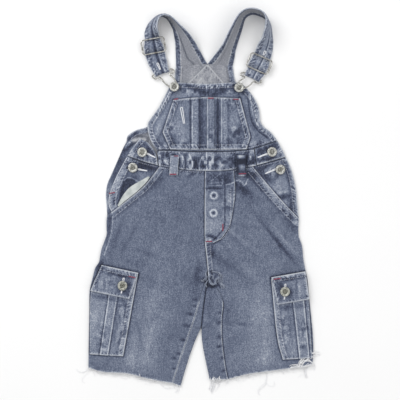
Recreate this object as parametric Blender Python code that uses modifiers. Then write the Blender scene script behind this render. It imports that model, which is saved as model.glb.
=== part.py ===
"""A small child's denim bib shorts with raw hems, laid flat with the front up.

The back lies flat on the ground and the front pieces lie on it. Every cloth piece is a closed
wall: a grid of plan points between four sides, lifted by the drape of the cloth. Plans are in
millimetres from the centre front (x, to the right) and the hip line (y, towards the straps).
"""

import math

import bmesh
import bpy
import numpy as np
from mathutils import Matrix, Vector

MM = 0.001

# Cloth and how it stacks.
DENIM = 1.5
DOUBLE_DENIM = 2.4
LINING = 1.0
STRAP_CLOTH = 2.0
GAP = 0.3
SEAM_INSET = 0.25
ROLL_INSET = 0.6
GRID = 13.0
FINE_GRID = 8.0

# Metal.
BUTTON_RADIUS = 7.8
BUTTON_SIDES = 14
SHANK_RADIUS = 2.8
WIRE_RADIUS = 1.0
SLIDER_WIDTH, SLIDER_HEIGHT, SLIDER_CORNER = 37.0, 23.0, 4.0
SLIDER_LIFT = 6.8

# Seams and edges of the front, from left to right or from the waist down.
WAIST_TOP = ((-76.5, 79), (-56.5, 79), (-24, 77.3), (0, 77), (32, 77.3), (59, 79), (78, 81.8))
WAIST_BOTTOM = ((-74, 54.5), (-54.5, 51), (-24, 47.5), (0, 46.5), (32, 47), (66.5, 52), (82, 55))
LEFT_LEG_WAIST = ((-72, 54.1), (-54.5, 51), (-24, 47.5), (0, 46.5))
RIGHT_LEG_WAIST = ((0, 46.5), (32, 47), (62, 51.2), (76, 53.6))
CENTRE_FRONT = ((0, 46.5), (-0.5, 16), (-1, -24), (-0.5, -64), (2.5, -92.5), (5, -121))
LEFT_POCKET_MOUTH = ((-148.5, -20), (-127.5, -3), (-110, 11), (-94, 25.5), (-72, 54.1))
RIGHT_POCKET_MOUTH = ((76, 53.6), (91, 35.5), (111.5, 11.5), (130.5, -9.5), (150, -29.5))
LEFT_INSEAM = ((5, -121), (-2, -136), (-6.8, -150), (-10, -164.5), (-15.3, -183.5), (-21.5, -202),
               (-37.5, -247.5), (-52, -292.5))
RIGHT_INSEAM = ((5, -121), (16, -136), (25, -150), (29.3, -165), (27.5, -185), (27, -207.5),
                (28.5, -232.5), (32.5, -263), (37, -286))
LEG_SPLIT = ((5, -121), (3.5, -135), (1.5, -143.5), (-2.5, -171), (-6, -203.5))
LEFT_INNER_EDGE = ((-6, -203.5), (-18.5, -232.5), (-29, -263.5), (-39, -297.5))
RIGHT_INNER_EDGE = ((-6, -203.5), (-5, -223.5), (-1, -248), (7.5, -287.5))
LEFT_SIDE = ((-148.5, -20), (-156.5, -26), (-157.5, -44), (-157.5, -56), (-166, -80),
             (-169.5, -99), (-175.5, -108.5), (-180.5, -127.5), (-184.5, -145.5), (-185, -175.5),
             (-186, -231.5), (-186.5, -268))
RIGHT_SIDE = ((150, -29.5), (149.5, -55.5), (155, -72.5), (157.5, -95), (161, -113.5),
              (164, -127.5), (167, -159.5), (172.5, -217), (173, -247.5), (171.5, -262))
LEFT_HEM = ((-186.5, -268), (-161.5, -274.5), (-124, -277), (-88, -286), (-52, -292.5))
LEFT_ROLL_HEM = ((-52, -292.5), (-39, -297.5))
RIGHT_ROLL_HEM = ((7.5, -287.5), (37, -286))
RIGHT_HEM = ((37, -286), (67.5, -278), (113.5, -271.5), (156.5, -265.5), (171.5, -262))
LEFT_FACING_SIDE = ((-124.5, 69.5), (-134, 52.5), (-143.5, 33.5), (-152.5, 9.5), (-154, -8),
                    (-148.5, -20))
RIGHT_FACING_SIDE = ((129.5, 68), (135.5, 55), (141, 39), (145.5, 17.5), (148, -6.5),
                     (150, -29.5))
BIB_LEFT = ((-76.5, 80), (-82.5, 87.5), (-89, 101), (-92, 117.5), (-90, 125.5), (-82, 136.5),
            (-73.5, 149), (-65.5, 164), (-59, 177.5))
BIB_TOP = ((-59, 177.5), (-52.5, 186), (-40, 187.5), (1.5, 185.5), (43, 187.5), (57.5, 186.5),
           (66, 178.5))
BIB_RIGHT = ((115.5, 95), (105.5, 108.5), (95.5, 116), (89, 124.5), (87.5, 137.5), (84.5, 151.5),
             (76, 167), (66, 178.5))
BIB_BOTTOM = ((-76.5, 80), (-56.5, 80), (-24, 78), (0, 78), (32, 78), (59, 80), (78, 82.8),
              (115.5, 95.5))
LEFT_TAB = {
    "bottom": ((-124, 71), (-100.5, 62.2), (-75.2, 55.3)),
    "right": ((-75.2, 55.3), (-77.5, 71), (-83.5, 82.5), (-91.5, 92)),
    "top": ((-103.5, 98), (-91.5, 92)),
    "left": ((-124, 71), (-114, 86), (-103.5, 98)),
}
RIGHT_TAB = {
    "bottom": ((82.7, 55.5), (105.5, 61.8), (129, 69)),
    "right": ((129, 69), (123, 82), (116, 94)),
    "top": ((79, 81.8), (97.5, 87.8), (116, 94)),
    "left": ((82.7, 55.5), (79, 81.8)),
}

# The back: its waist seam, armhole edges, top between the straps, and its sides at the hips.
BACK_WAIST_LEFT = ((-138.5, 66), (0, 61))
BACK_WAIST_RIGHT = ((0, 61), (129, 66))
BACK_LEFT = ((-138.5, 66), (-130, 85), (-125.5, 93), (-125, 99), (-122, 104.5), (-109.5, 112),
             (-92, 117.5), (-72, 136), (-56, 160), (-50, 185.5), (-47, 214))
BACK_RIGHT = ((129, 66), (114.5, 94.5), (95, 113.5), (73.5, 132.5), (57.5, 158.5), (49.5, 185.5),
              (44.5, 214))
BACK_V = (4, 218)
BACK_LEFT_SIDE = ((-138.5, 66), (-149.5, 41), (-156.5, 24.5), (-158.5, 6), (-157, -14.5))
BACK_RIGHT_SIDE = ((129, 66), (136, 55), (141, 39), (146, 17.5), (148, -6.5))
CENTRE_BACK = ((0, 61), (-1, -40), (5, -121))
YOKE = ((-37, 178), (38, 178), (5.8, 215.5), (2.2, 215.5))

# Puffs and creases of the front over the back: centre, half length, half breadth, the turn of
# the length from +x in degrees, and the height.
PUFFS = (
    (-112, 14, 28, 9, 41, 2.6),     # the left pocket's mouth gapes
    (110, 8, 45, 7, -47, 1.2),      # the right pocket's closed mouth
    (30, 14, 24, 9, 8, 1.4),        # a fold below the waistband
    (22, -78, 20, 9, 70, 1.2),      # creases from the fly to the crotch
    (48, -95, 34, 7, -42, 1.4),
    (5, -127, 12, 9, 0, 3.2),       # the crotch seams pile up
    (-28, -118, 30, 7, 55, 1.2),
    (120, -70, 38, 6, -50, 1.6),    # the right thigh's crease
    (-90, -60, 40, 12, 80, 0.8),
    (-150, -205, 50, 14, 88, 1.4),  # the cargo pockets
    (146, -205, 50, 13, -86, 1.2),
    (-20, -235, 40, 10, 70, 1.5),   # the legs inside the cargo pockets
    (62, -235, 40, 12, 86, 1.8),
    (-70, 120, 22, 7, 60, 1.4),     # the bib's sides
    (84, 110, 24, 7, -60, 1.6),
    (0, 172, 60, 9, 0, 1.4),        # the bib's top lies on the yoke
)
CALM_HEIGHT, CALM_WIDTH = 1.8, 14.0
FACING_PUFF = 1.5

# Where the front comes down to the back: y, left x, right x, and the legs' inner edges.
FRONT_EDGES = (
    (-298, -187, 172), (-232, -186, 173), (-145, -184, 166), (-100, -170, 158), (-56, -157, 150),
    (-20, -154, 149), (10, -152, 146), (70, -124, 129), (95, -103, 115), (127, -92, 88),
    (167, -63, 76), (187, -55, 62),
)
INNER_EDGES = ((-298, -39.5, 8), (-263, -29, 2), (-232, -18.5, -4), (-203, -6, -6))

# Pieces sewn on the front.
BIB_POCKET = {
    "bottom": (((-55.5, 80.8), (1.5, 80.2), (66, 80.8)),),
    "right": (((66, 80.8), (72.5, 100.5)), ((72.5, 100.5), (56, 162))),
    "top": (((-50.5, 159.5), (-24, 162.5), (1.5, 164), (28.5, 163), (56, 162)),),
    "left": (((-55.5, 80.8), (-67.5, 108)), ((-67.5, 108), (-50.5, 159.5))),
}
STRIP = ((3, 81.5), (15, 81.5), (15, 163), (3, 163))
FLY = {
    "bottom": ((1, -69.5), (14, -68)),
    "right": ((14, -68), (27, -60), (39.5, -39.5), (44.5, -15.5), (48, 13.5), (46, 46)),
    "top": ((0.8, 45.3), (46, 46)),
    "left": ((1, -69.5), (0.3, -24), (0.8, 45.3)),
}
# Concealed buttons push domes up through the fly: x, y, radius, rise.
FLY_DOMES = ((14, 7, 8.0, 1.3), (13.5, -20.5, 8.0, 1.3))
LINING_PIECE = {
    "bottom": ((-138, -10.5), (-127, -1.3), (-109.5, 12.6), (-95, 26.5), (-88, 36.2)),
    "top": ((-139.5, -8.5), (-129, 6.5), (-117.5, 19), (-104, 28.5), (-90.5, 37.8)),
}
CARGO_POCKETS = {
    "left": {
        "bottom": ((-184, -246), (-130.5, -249)), "right": ((-130.5, -249), (-107, -119)),
        "top": ((-165.5, -107), (-107, -119)), "left": ((-184, -246), (-182, -150), (-165.5, -107)),
    },
    "right": {
        "bottom": ((124, -254.5), (171, -252)), "right": ((171, -252), (165.5, -165), (159, -117)),
        "top": ((105.5, -126), (159, -117)), "left": ((124, -254.5), (114.5, -215), (105.5, -126)),
    },
}
# Each pocket's pleat: where across the pocket it starts and ends.
PLEATS = {"left": (0.29, 0.54), "right": (0.54, 0.89)}
PLEAT_SIDE, PLEAT_RISE = 0.025, 0.9
CARGO_FLAPS = {
    "left": ((-182.5, -144.5), (-120.5, -157.5), (-106, -116), (-164.5, -103.5)),
    "right": ((115.5, -166.5), (166, -158), (160, -113.5), (105.5, -123)),
}
# Belt loops: corners as above, how high each arches.
BELT_LOOPS = {
    "left": (((-57, 39), (-43.5, 39), (-41.5, 71), (-55, 71)), 2.2),
    "right": (((51, 37.5), (65.5, 37.5), (65, 71.5), (50, 71.5)), 3.6),
}

# Buttons: x, y, and the kind of cloth each one sits on.
BUTTONS = {
    "bib_left": (-48.5, 180, "bib"), "bib_right": (54, 178.5, "bib"),
    "side_left_upper": (-100, 76, "waist"), "side_left_lower": (-115, 51.5, "facing"),
    "side_right_upper": (106.5, 76.5, "waist"), "side_right_lower": (120, 48.5, "facing"),
    "cargo_left": (-131, -136, "flap"), "cargo_right": (127, -145.5, "flap"),
}
SHANK_HEIGHT = {"bib": 3.2, "waist": 1.0, "facing": 1.0, "flap": 1.0}

# A strap's centre line: x, y, the lift of its lower edge, its width, the heading of its width and
# its roll from lying flat. The edge at the neck rises until the strap stands upright at the
# shoulder, and goes on over. The strap then passes over the slider's bar, under its two long
# wires, and folds round the bar of the hook.
STRAPS = {
    "left": (
        (-21.6, 216.8, 0, 50, 4.5, 0), (-27.8, 238, 0, 38.7, 3, 6), (-34, 255.8, 0, 32, 4, 29),
        (-44.4, 272.4, 0, 31, 14, 66), (-53.1, 283.6, 0, 32, 34, 79), (-59.5, 289.2, 0, 32, 62, 88),
        (-66.5, 291.6, 0, 32, 96, 96), (-75.4, 288.6, 0, 32, 130, 107),
        (-82.3, 277.6, 0, 32, 146, 123), (-84.2, 268, 0, 29, 166, 142),
        (-84.6, 261.5, 1.0, 24, 184, 170), (-84.5, 256.8, 1.8, 24, 191, 180),
        (-84, 254, 2.5, 26, 191, 180), (-82.9, 248.4, 8.4, 28, 191, 180),
        (-82.3, 245.5, 8.6, 30, 191, 180), (-81.7, 242.6, 8.4, 31, 191, 180),
        (-80.6, 237, 2.8, 32, 191, 180), (-80, 233.7, 2.6, 32, 191, 180),
        (-75, 218, 3.4, 30, 194, 180), (-69.4, 204.2, 4.9, 24, 200, 180),
    ),
    "right": (
        (24.4, 216.8, 0, 40, -5.6, 0), (31, 227.5, 0, 33, -11, -18), (36.8, 239.2, 0, 32, -16, -42),
        (42.4, 253.1, 0, 32, -14, -51), (51, 273.8, 0, 32, -14, -60), (60, 292.2, 0, 32, -22, -72),
        (74.5, 298.6, 0, 32, -76, -83), (90.8, 293.4, 0, 32, -122, -88),
        (99.3, 280.2, 0, 32, -156, -107), (98.8, 258.7, 0, 31, -169, -126),
        (95.5, 243, 0.1, 29, -190, -152), (91.4, 228.5, 1.7, 28, -204, -180),
        (90, 225.5, 2.5, 29, -204, -180), (87.7, 220.2, 8.4, 30, -204, -180),
        (86.5, 217.5, 8.6, 31, -204, -180), (85.3, 214.8, 8.4, 31, -204, -180),
        (83, 209.5, 2.8, 31, -204, -180), (81.6, 206.5, 2.6, 30, -204, -180),
        (76.2, 197, 4.9, 26, -206, -180),
    ),
}
STRAP_STATIONS = 54
STRAP_COLUMNS = (-0.5, -0.25, 0, 0.25, 0.5)
STRAP_CLEAR = 0.15
STRAP_BOW = 2.5
SLIDERS = {"left": (-82.3, 245.5, 11.0), "right": (86.5, 217.5, -24.0)}
# Half of the hook's wire, from the middle of its bar to the end of its keyhole: across, along.
HOOK_HALF = ((0, 0), (7, 0), (13.6, 0), (16.6, 1.3), (17.4, 4), (15.2, 6.7), (9.6, 6.4), (7.6, 8.6),
             (8.4, 14), (8.2, 19), (6.4, 24), (5.6, 28), (3.8, 31.4), (0, 32.8))
HOOK_BAR_LIFT = 3.6
HOOK_SLACK = 1.6
HOOK_POINTS = 38

FRAY_ROOT = 1.2
FRAY_STEP = 2.2
FRAY_LENGTHS = (3.0, 7.5)
FRAY_SWAY, FRAY_WAVE, FRAY_STRAY = 0.25, 4.5, 0.03
FRAY_TIP_LIFT = 0.5
FRAY_SEED = 4

# Linear red, green and blue, roughness, and how metallic.
COLOURS = {
    "denim": (0.155, 0.185, 0.270, 0.9, 0.0),
    "denim_inside": (0.400, 0.430, 0.480, 0.9, 0.0),
    "lining": (0.800, 0.800, 0.780, 0.9, 0.0),
    "button_metal": (0.620, 0.600, 0.540, 0.35, 0.8),
    "wire_metal": (0.360, 0.350, 0.310, 0.35, 0.9),
    "fray": (0.720, 0.730, 0.760, 0.95, 0.0),
}


def material(slot):
    """The Principled material of this name, made once."""
    found = bpy.data.materials.get(slot)
    if found:
        return found
    red, green, blue, roughness, metallic = COLOURS[slot]
    made = bpy.data.materials.new(slot)
    made.use_nodes = True
    shader = made.node_tree.nodes["Principled BSDF"]
    shader.inputs["Base Color"].default_value = (red, green, blue, 1)
    shader.inputs["Roughness"].default_value = roughness
    shader.inputs["Metallic"].default_value = metallic
    return made


def add(name, data, slot, home):
    obj = bpy.data.objects.new(name, data)
    home.objects.link(obj)
    obj.data.materials.append(material(slot))
    return obj


# ---- Plans: curves, and grids between four sides --------------------------------------------


def spaced(points, fractions):
    """Points at these fractions of the length of the Catmull-Rom curve through the given ones."""
    given = np.asarray(points, float)
    p = np.vstack([2 * given[0] - given[1], given, 2 * given[-1] - given[-2]])
    a, b, c, d = (p[i : len(p) - 3 + i, None] for i in range(4))
    t = np.linspace(0, 1, 20, endpoint=False)[None, :, None]
    cubic = 2 * b + (c - a) * t + (2 * a - 5 * b + 4 * c - d) * t**2 + (3 * b - a - 3 * c + d) * t**3
    dense = np.vstack([0.5 * cubic.reshape(-1, given.shape[1]), given[-1:]])
    run = np.r_[0, np.cumsum(np.linalg.norm(np.diff(dense, axis=0), axis=1))]
    at = np.asarray(fractions) * run[-1]
    return np.column_stack([np.interp(at, run, column) for column in dense.T])


def smooth(points, count):
    return spaced(points, np.linspace(0, 1, count))


def side(*stretches, step=GRID):
    """One side of a piece: stretches end to end, with a corner where two of them meet."""
    runs = []
    for stretch in stretches:
        length = np.linalg.norm(np.diff(np.asarray(stretch, float), axis=0), axis=1).sum()
        runs.append(smooth(stretch, max(2, round(length / step) + 1)))
    return np.vstack([runs[0]] + [run[1:] for run in runs[1:]])


def matched(first, second):
    """Both sides with as many points as the longer one."""
    count = max(len(first), len(second))
    return tuple(s if len(s) == count else smooth(s, count) for s in (first, second))


def patch(bottom, right, top, left, columns=None):
    """The Coons grid of plan points between four sides, its bottom row first."""
    if columns is None:
        bottom, top = matched(bottom, top)
        columns = np.linspace(0, 1, len(bottom))
    else:
        bottom, top = spaced(bottom, columns), spaced(top, columns)
    left, right = matched(left, right)
    u = np.asarray(columns)[None, :, None]
    v = np.linspace(0, 1, len(left))[:, None, None]
    across = (1 - u) * left[:, None] + u * right[:, None]
    along = (1 - v) * bottom[None] + v * top[None]
    corners = ((1 - u) * (1 - v) * bottom[0] + u * (1 - v) * bottom[-1]
               + (1 - u) * v * top[0] + u * v * top[-1])
    return across + along - corners


def piece(sides, step=GRID, columns=None):
    """The grid of a piece whose four named sides are each one smooth stretch."""
    return patch(*(side(sides[name], step=step) for name in ("bottom", "right", "top", "left")),
                 columns=columns)


def quad(corners, step=GRID):
    """The grid between four corners, anticlockwise from the bottom left."""
    a, b, c, d = corners
    return patch(side((a, b), step=step), side((b, c), step=step), side((d, c), step=step),
                 side((a, d), step=step))


def inset(grid, by=SEAM_INSET):
    """The grid drawn in along its four sides, which leaves the gaps at the seams."""
    drawn = grid.copy()
    for rows in (drawn, drawn.transpose(1, 0, 2)):
        for edge, beside in ((0, 1), (-1, -2)):
            step = rows[beside] - rows[edge]
            rows[edge] += by * step / np.linalg.norm(step, axis=1, keepdims=True)
    return drawn


# ---- Drape: how high each layer lies ----------------------------------------------------------


def edge_distance(x, y):
    """How far a point of the front is from the nearest edge where it comes down to the back."""
    heights, lefts, rights = np.array(FRONT_EDGES).T
    outer = np.minimum(x - np.interp(y, heights, lefts), np.interp(y, heights, rights) - x)
    heights, lefts, rights = np.array(INNER_EDGES).T
    left, right = np.interp(y, heights, lefts), np.interp(y, heights, rights)
    inner = np.where(2 * x < left + right, left - x, x - right)
    return np.maximum(np.where(y < heights[-1], np.minimum(outer, inner), outer), 0)


def puff(x, y):
    """How far the front stands off the back."""
    calm = 1 - np.exp(-edge_distance(x, y) / CALM_WIDTH)
    total = CALM_HEIGHT
    for middle_x, middle_y, long, broad, turn, height in PUFFS:
        c, s = math.cos(math.radians(turn)), math.sin(math.radians(turn))
        a = ((x - middle_x) * c + (y - middle_y) * s) / long
        b = ((y - middle_y) * c - (x - middle_x) * s) / broad
        total = total + height * np.exp(-a * a - b * b)
    return calm * np.maximum(total, 0)


def under_front(x, y):
    return DENIM + GAP + puff(x, y)


def under_facing(x, y):
    return DENIM + GAP + np.minimum(puff(x, y), FACING_PUFF)


def on_facing(x, y):
    return under_facing(x, y) + DENIM + GAP


def on_front(x, y):
    return under_front(x, y) + DENIM + GAP


def on_double(x, y):
    return under_front(x, y) + DOUBLE_DENIM + GAP


def on_bib_pocket(x, y):
    return on_front(x, y) + DENIM + GAP


def on_cargo_pocket(x, y):
    return on_front(x, y) + DENIM + PLEAT_RISE + GAP


def on_flap(x, y):
    return on_cargo_pocket(x, y) + DOUBLE_DENIM + GAP


SURFACES = {"bib": on_double, "waist": on_double, "facing": on_facing, "flap": on_flap}


# ---- Cloth ------------------------------------------------------------------------------------


def wall(name, grid, under, thickness, slot, home):
    """A closed wall on the plan grid: `under` gives its underside, `thickness` is straight up."""
    rows, columns = grid.shape[:2]
    flat = grid.reshape(-1, 2)
    low = under(flat[:, 0], flat[:, 1]) if callable(under) else np.ravel(under)
    low = np.broadcast_to(low, len(flat))
    high = low + np.broadcast_to(np.ravel(thickness), len(flat))
    bm = bmesh.new()
    bmesh.ops.create_grid(bm, x_segments=columns - 1, y_segments=rows - 1, size=1)
    number = bm.verts.layers.int.new("number")
    for i, vert in enumerate(bm.verts):
        vert[number] = i
        vert.co = Vector((flat[i, 0], flat[i, 1], low[i])) * MM
    made = bmesh.ops.extrude_face_region(bm, geom=list(bm.faces))["geom"]
    for vert in (item for item in made if isinstance(item, bmesh.types.BMVert)):
        vert.co.z = high[vert[number]] * MM
    bmesh.ops.recalc_face_normals(bm, faces=bm.faces)
    mesh = bpy.data.meshes.new(name)
    bm.to_mesh(mesh)
    bm.free()
    return add(name, mesh, slot, home)


def hem_thickness(grid, names, width):
    """Cloth thickness over a grid, doubled within `width` of the named sides."""
    lines = {"left": grid[:, :1], "right": grid[:, -1:], "top": grid[-1:], "bottom": grid[:1]}
    near = np.min([np.linalg.norm(grid - lines[name], axis=2) for name in names], axis=0)
    return np.where(near <= width, DOUBLE_DENIM, DENIM)


def build_back(home):
    top = side(((-47, 214), BACK_V), (BACK_V, (44.5, 214)))
    upper = patch(side(BACK_WAIST_LEFT, BACK_WAIST_RIGHT), side(BACK_RIGHT), top, side(BACK_LEFT))
    wall("back_upper", inset(upper), 0, DENIM, "denim_inside", home)
    wall("back_yoke", quad(YOKE), DENIM + GAP, LINING, "denim_inside", home)

    left = patch(
        side(LEFT_HEM, LEFT_ROLL_HEM),
        side(LEFT_INNER_EDGE[::-1], LEG_SPLIT[::-1], CENTRE_BACK[::-1]),
        side(BACK_WAIST_LEFT),
        side(LEFT_SIDE[:0:-1] + BACK_LEFT_SIDE[::-1]),
    )
    right = patch(
        side(RIGHT_ROLL_HEM, RIGHT_HEM),
        side(RIGHT_SIDE[::-1] + BACK_RIGHT_SIDE[::-1]),
        side(BACK_WAIST_RIGHT),
        side(RIGHT_INNER_EDGE[::-1], LEG_SPLIT[::-1], CENTRE_BACK[::-1]),
    )
    wall("back_leg_left", inset(left), 0, DENIM, "denim", home)
    wall("back_leg_right", inset(right), 0, DENIM, "denim", home)


def build_front_legs(home):
    left = patch(
        side(LEFT_HEM),
        side(LEFT_INSEAM[::-1], CENTRE_FRONT[::-1]),
        side(LEFT_POCKET_MOUTH, LEFT_LEG_WAIST),
        side(LEFT_SIDE[::-1]),
    )
    right = patch(
        side(RIGHT_HEM),
        side(RIGHT_SIDE[::-1]),
        side(RIGHT_LEG_WAIST, RIGHT_POCKET_MOUTH),
        side(RIGHT_INSEAM[::-1], CENTRE_FRONT[::-1]),
    )
    wall("front_leg_left", inset(left), under_front, DENIM, "denim", home)
    wall("front_leg_right", inset(right), under_front, DENIM, "denim", home)


def build_inseam_rolls(home):
    """The back legs' cloth where it rolls round to the front, inside each inseam."""
    left = patch(
        side(LEFT_ROLL_HEM),
        side(LEFT_INNER_EDGE[::-1], LEG_SPLIT[:0:-1]),
        side((LEFT_INSEAM[1], LEG_SPLIT[1])),
        side(LEFT_INSEAM[:0:-1]),
    )
    right = patch(
        side(RIGHT_ROLL_HEM),
        side(RIGHT_INSEAM[:0:-1]),
        side((LEG_SPLIT[1], RIGHT_INSEAM[1])),
        side(RIGHT_INNER_EDGE[::-1], LEG_SPLIT[:0:-1]),
    )
    wall("inseam_roll_left", inset(left, ROLL_INSET), under_front, DENIM, "denim", home)
    wall("inseam_roll_right", inset(right, ROLL_INSET), under_front, DENIM, "denim", home)


def build_hips(home):
    """The facings behind the slanted pockets, and the lining that shows in the gaping one."""
    left = patch(
        side(LEFT_POCKET_MOUTH),
        side((LEFT_POCKET_MOUTH[-1], WAIST_BOTTOM[0])),
        side((LEFT_FACING_SIDE[0], (-100.5, 61), WAIST_BOTTOM[0])),
        side(LEFT_FACING_SIDE[::-1]),
    )
    right = patch(
        side(RIGHT_POCKET_MOUTH),
        side(RIGHT_FACING_SIDE[::-1]),
        side((WAIST_BOTTOM[-1], (105.5, 60.8), RIGHT_FACING_SIDE[0])),
        side((RIGHT_POCKET_MOUTH[0], WAIST_BOTTOM[-1])),
    )
    wall("hip_facing_left", inset(left), under_facing, DENIM, "denim", home)
    wall("hip_facing_right", inset(right), under_facing, DENIM, "denim", home)

    low, high = side(LINING_PIECE["bottom"], step=FINE_GRID), LINING_PIECE["top"]
    lining = patch(low, side((low[-1], high[-1])), side(high, step=FINE_GRID),
                   side((low[0], high[0])))
    wall("pocket_lining_left", lining, on_facing, LINING, "lining", home)


def build_waist(home):
    band = patch(side(WAIST_BOTTOM), side((WAIST_BOTTOM[-1], WAIST_TOP[-1])), side(WAIST_TOP),
                 side((WAIST_BOTTOM[0], WAIST_TOP[0])))
    wall("waistband", inset(band), under_front, DOUBLE_DENIM, "denim", home)
    for hand, sides in (("left", LEFT_TAB), ("right", RIGHT_TAB)):
        tab = piece(sides, step=FINE_GRID)
        wall(f"waist_tab_{hand}", inset(tab), under_front, DOUBLE_DENIM, "denim", home)
    for hand, (corners, arch) in BELT_LOOPS.items():
        loop = quad(corners, step=4)
        rise = np.sin(np.linspace(0, math.pi, len(loop)))[:, None] * arch
        under = on_double(loop[..., 0], loop[..., 1]) + rise
        wall(f"belt_loop_{hand}", loop, under, DENIM, "denim", home)


def build_bib(home):
    bib = inset(patch(side(BIB_BOTTOM), side(BIB_RIGHT), side(BIB_TOP), side(BIB_LEFT)))
    thickness = hem_thickness(bib, ("left", "right", "top"), width=10)
    wall("bib", bib, under_front, thickness, "denim", home)
    names = ("bottom", "right", "top", "left")
    pocket = patch(*(side(*BIB_POCKET[name], step=FINE_GRID) for name in names))
    wall("bib_pocket", pocket, on_front, DENIM, "denim", home)
    wall("bib_pocket_strip", quad(STRIP), on_bib_pocket, DENIM, "denim", home)


def build_fly(home):
    grid = piece(FLY, step=FINE_GRID)
    thickness = np.full(grid.shape[:2], DENIM)
    for x, y, radius, rise in FLY_DOMES:
        away = np.hypot(grid[..., 0] - x, grid[..., 1] - y) / radius
        thickness += rise * np.clip(1 - away**2, 0, 1)
    wall("fly_placket", grid, on_front, thickness, "denim", home)


def build_cargo(home):
    for hand, sides in CARGO_POCKETS.items():
        first, last = PLEATS[hand]
        pleat = (first, first + PLEAT_SIDE, (first + last) / 2, last - PLEAT_SIDE, last)
        grid = piece(sides, columns=(0, first / 2, *pleat, (1 + last) / 2, 1))
        raised = PLEAT_RISE * np.array((0, 0, 0, 1, 1, 1, 0, 0, 0))
        thickness = np.broadcast_to(DENIM + raised, grid.shape[:2])
        wall(f"cargo_pocket_{hand}", grid, on_front, thickness, "denim", home)
        flap = quad(CARGO_FLAPS[hand])
        wall(f"cargo_flap_{hand}", flap, on_cargo_pocket, DOUBLE_DENIM, "denim", home)


# ---- Straps and metal -------------------------------------------------------------------------


def strap_frames(hand):
    """The strap's centre points, width vectors and outward bow, round the hook's bar and back."""
    x, y, lift, width, heading, roll = smooth(STRAPS[hand], STRAP_STATIONS).T
    heading, roll = np.radians(heading), np.radians(roll)
    upright, flat = np.abs(np.sin(roll)), np.abs(np.cos(roll))
    height = lift + STRAP_CLEAR + upright * width / 2 + flat * STRAP_CLOTH / 2
    centres = np.column_stack([x, y, height])
    across = np.column_stack([np.cos(roll) * np.cos(heading), np.cos(roll) * np.sin(heading),
                              np.sin(roll)])
    bar = np.array([x[-1], y[-1], HOOK_BAR_LIFT])
    ahead = np.array([across[-1, 1], -across[-1, 0], 0])
    radius = centres[-1, 2] - HOOK_BAR_LIFT
    turn = np.radians(np.arange(30, 181, 30))[:, None]
    fold = bar + radius * (np.sin(turn) * ahead + np.cos(turn) * np.array([0, 0, 1]))
    slider = np.array([SLIDERS[hand][0], SLIDERS[hand][1], fold[-1, 2]])
    back = fold[-1] + (slider - fold[-1]) * np.linspace(0.5, 1, 2)[:, None]
    extra = len(fold) + len(back)
    bow = STRAP_BOW * np.sin(roll) * upright
    bows = np.column_stack([bow * np.cos(heading), bow * np.sin(heading), 0 * bow])
    centres = np.vstack([centres, fold, back])
    across = np.vstack([across * width[:, None], np.repeat(across[-1:] * width[-1], extra, axis=0)])
    return centres, across, np.vstack([bows, np.zeros((extra, 3))])


def build_straps(home):
    for hand in STRAPS:
        centres, across, bows = strap_frames(hand)
        columns = np.array(STRAP_COLUMNS)[None, :, None]
        points = centres[:, None] + across[:, None] * columns
        points = (points + bows[:, None] * (1 - 4 * columns**2)).reshape(-1, 3)
        bm = bmesh.new()
        bmesh.ops.create_grid(bm, x_segments=len(STRAP_COLUMNS) - 1,
                              y_segments=len(centres) - 1, size=1)
        for vert, point in zip(bm.verts, points):
            vert.co = Vector(point) * MM
        mesh = bpy.data.meshes.new(f"strap_{hand}")
        bm.to_mesh(mesh)
        bm.free()
        strap = add(f"strap_{hand}", mesh, "denim", home)
        solidify = strap.modifiers.new("cloth", "SOLIDIFY")
        solidify.thickness = STRAP_CLOTH * MM
        solidify.offset = 0


def wire(name, points, slot, home):
    """A closed wire through these points, in millimetres."""
    curve = bpy.data.curves.new(name, "CURVE")
    curve.dimensions = "3D"
    curve.bevel_depth = WIRE_RADIUS * MM
    curve.bevel_resolution = 1
    spline = curve.splines.new("POLY")
    spline.points.add(len(points) - 1)
    for target, point in zip(spline.points, points):
        target.co = (*(Vector(point) * MM), 1)
    spline.use_cyclic_u = True
    return add(name, curve, slot, home)


def build_sliders(home, cutters):
    """Each slider is a wire frame with a bar across its middle."""
    half_width = SLIDER_WIDTH / 2 - SLIDER_CORNER
    half_height = SLIDER_HEIGHT / 2 - SLIDER_CORNER
    outline = []
    for quarter in range(4):
        corner_x = half_width if quarter in (0, 3) else -half_width
        corner_y = half_height if quarter in (0, 1) else -half_height
        for degrees in (0, 30, 60, 90):
            angle = math.radians(90 * quarter + degrees)
            outline.append((corner_x + SLIDER_CORNER * math.cos(angle),
                            corner_y + SLIDER_CORNER * math.sin(angle), 0))
    for hand, (x, y, turn) in SLIDERS.items():
        guide = wire(f"slider_{hand}_outline", outline, "wire_metal", cutters)
        bpy.context.view_layer.update()
        graph = bpy.context.evaluated_depsgraph_get()
        mesh = bpy.data.meshes.new_from_object(guide.evaluated_get(graph))
        bpy.data.objects.remove(guide)
        frame = add(f"slider_{hand}", mesh, "wire_metal", home)
        bm = bmesh.new()
        bmesh.ops.create_cone(bm, cap_ends=True, segments=8, radius1=WIRE_RADIUS * MM,
                              radius2=WIRE_RADIUS * MM, depth=SLIDER_WIDTH * MM,
                              matrix=Matrix.Rotation(math.pi / 2, 4, "Y"))
        bar_mesh = bpy.data.meshes.new(f"slider_{hand}_bar")
        bm.to_mesh(bar_mesh)
        bm.free()
        bar = add(f"slider_{hand}_bar", bar_mesh, "wire_metal", cutters)
        place = Matrix.Translation(Vector((x, y, SLIDER_LIFT)) * MM)
        place = place @ Matrix.Rotation(math.radians(turn), 4, "Z")
        frame.matrix_world = place
        bar.matrix_world = place
        bar.hide_render = True
        bar.display_type = "WIRE"
        join = frame.modifiers.new("bar", "BOOLEAN")
        join.operation = "UNION"
        join.object = bar


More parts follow.
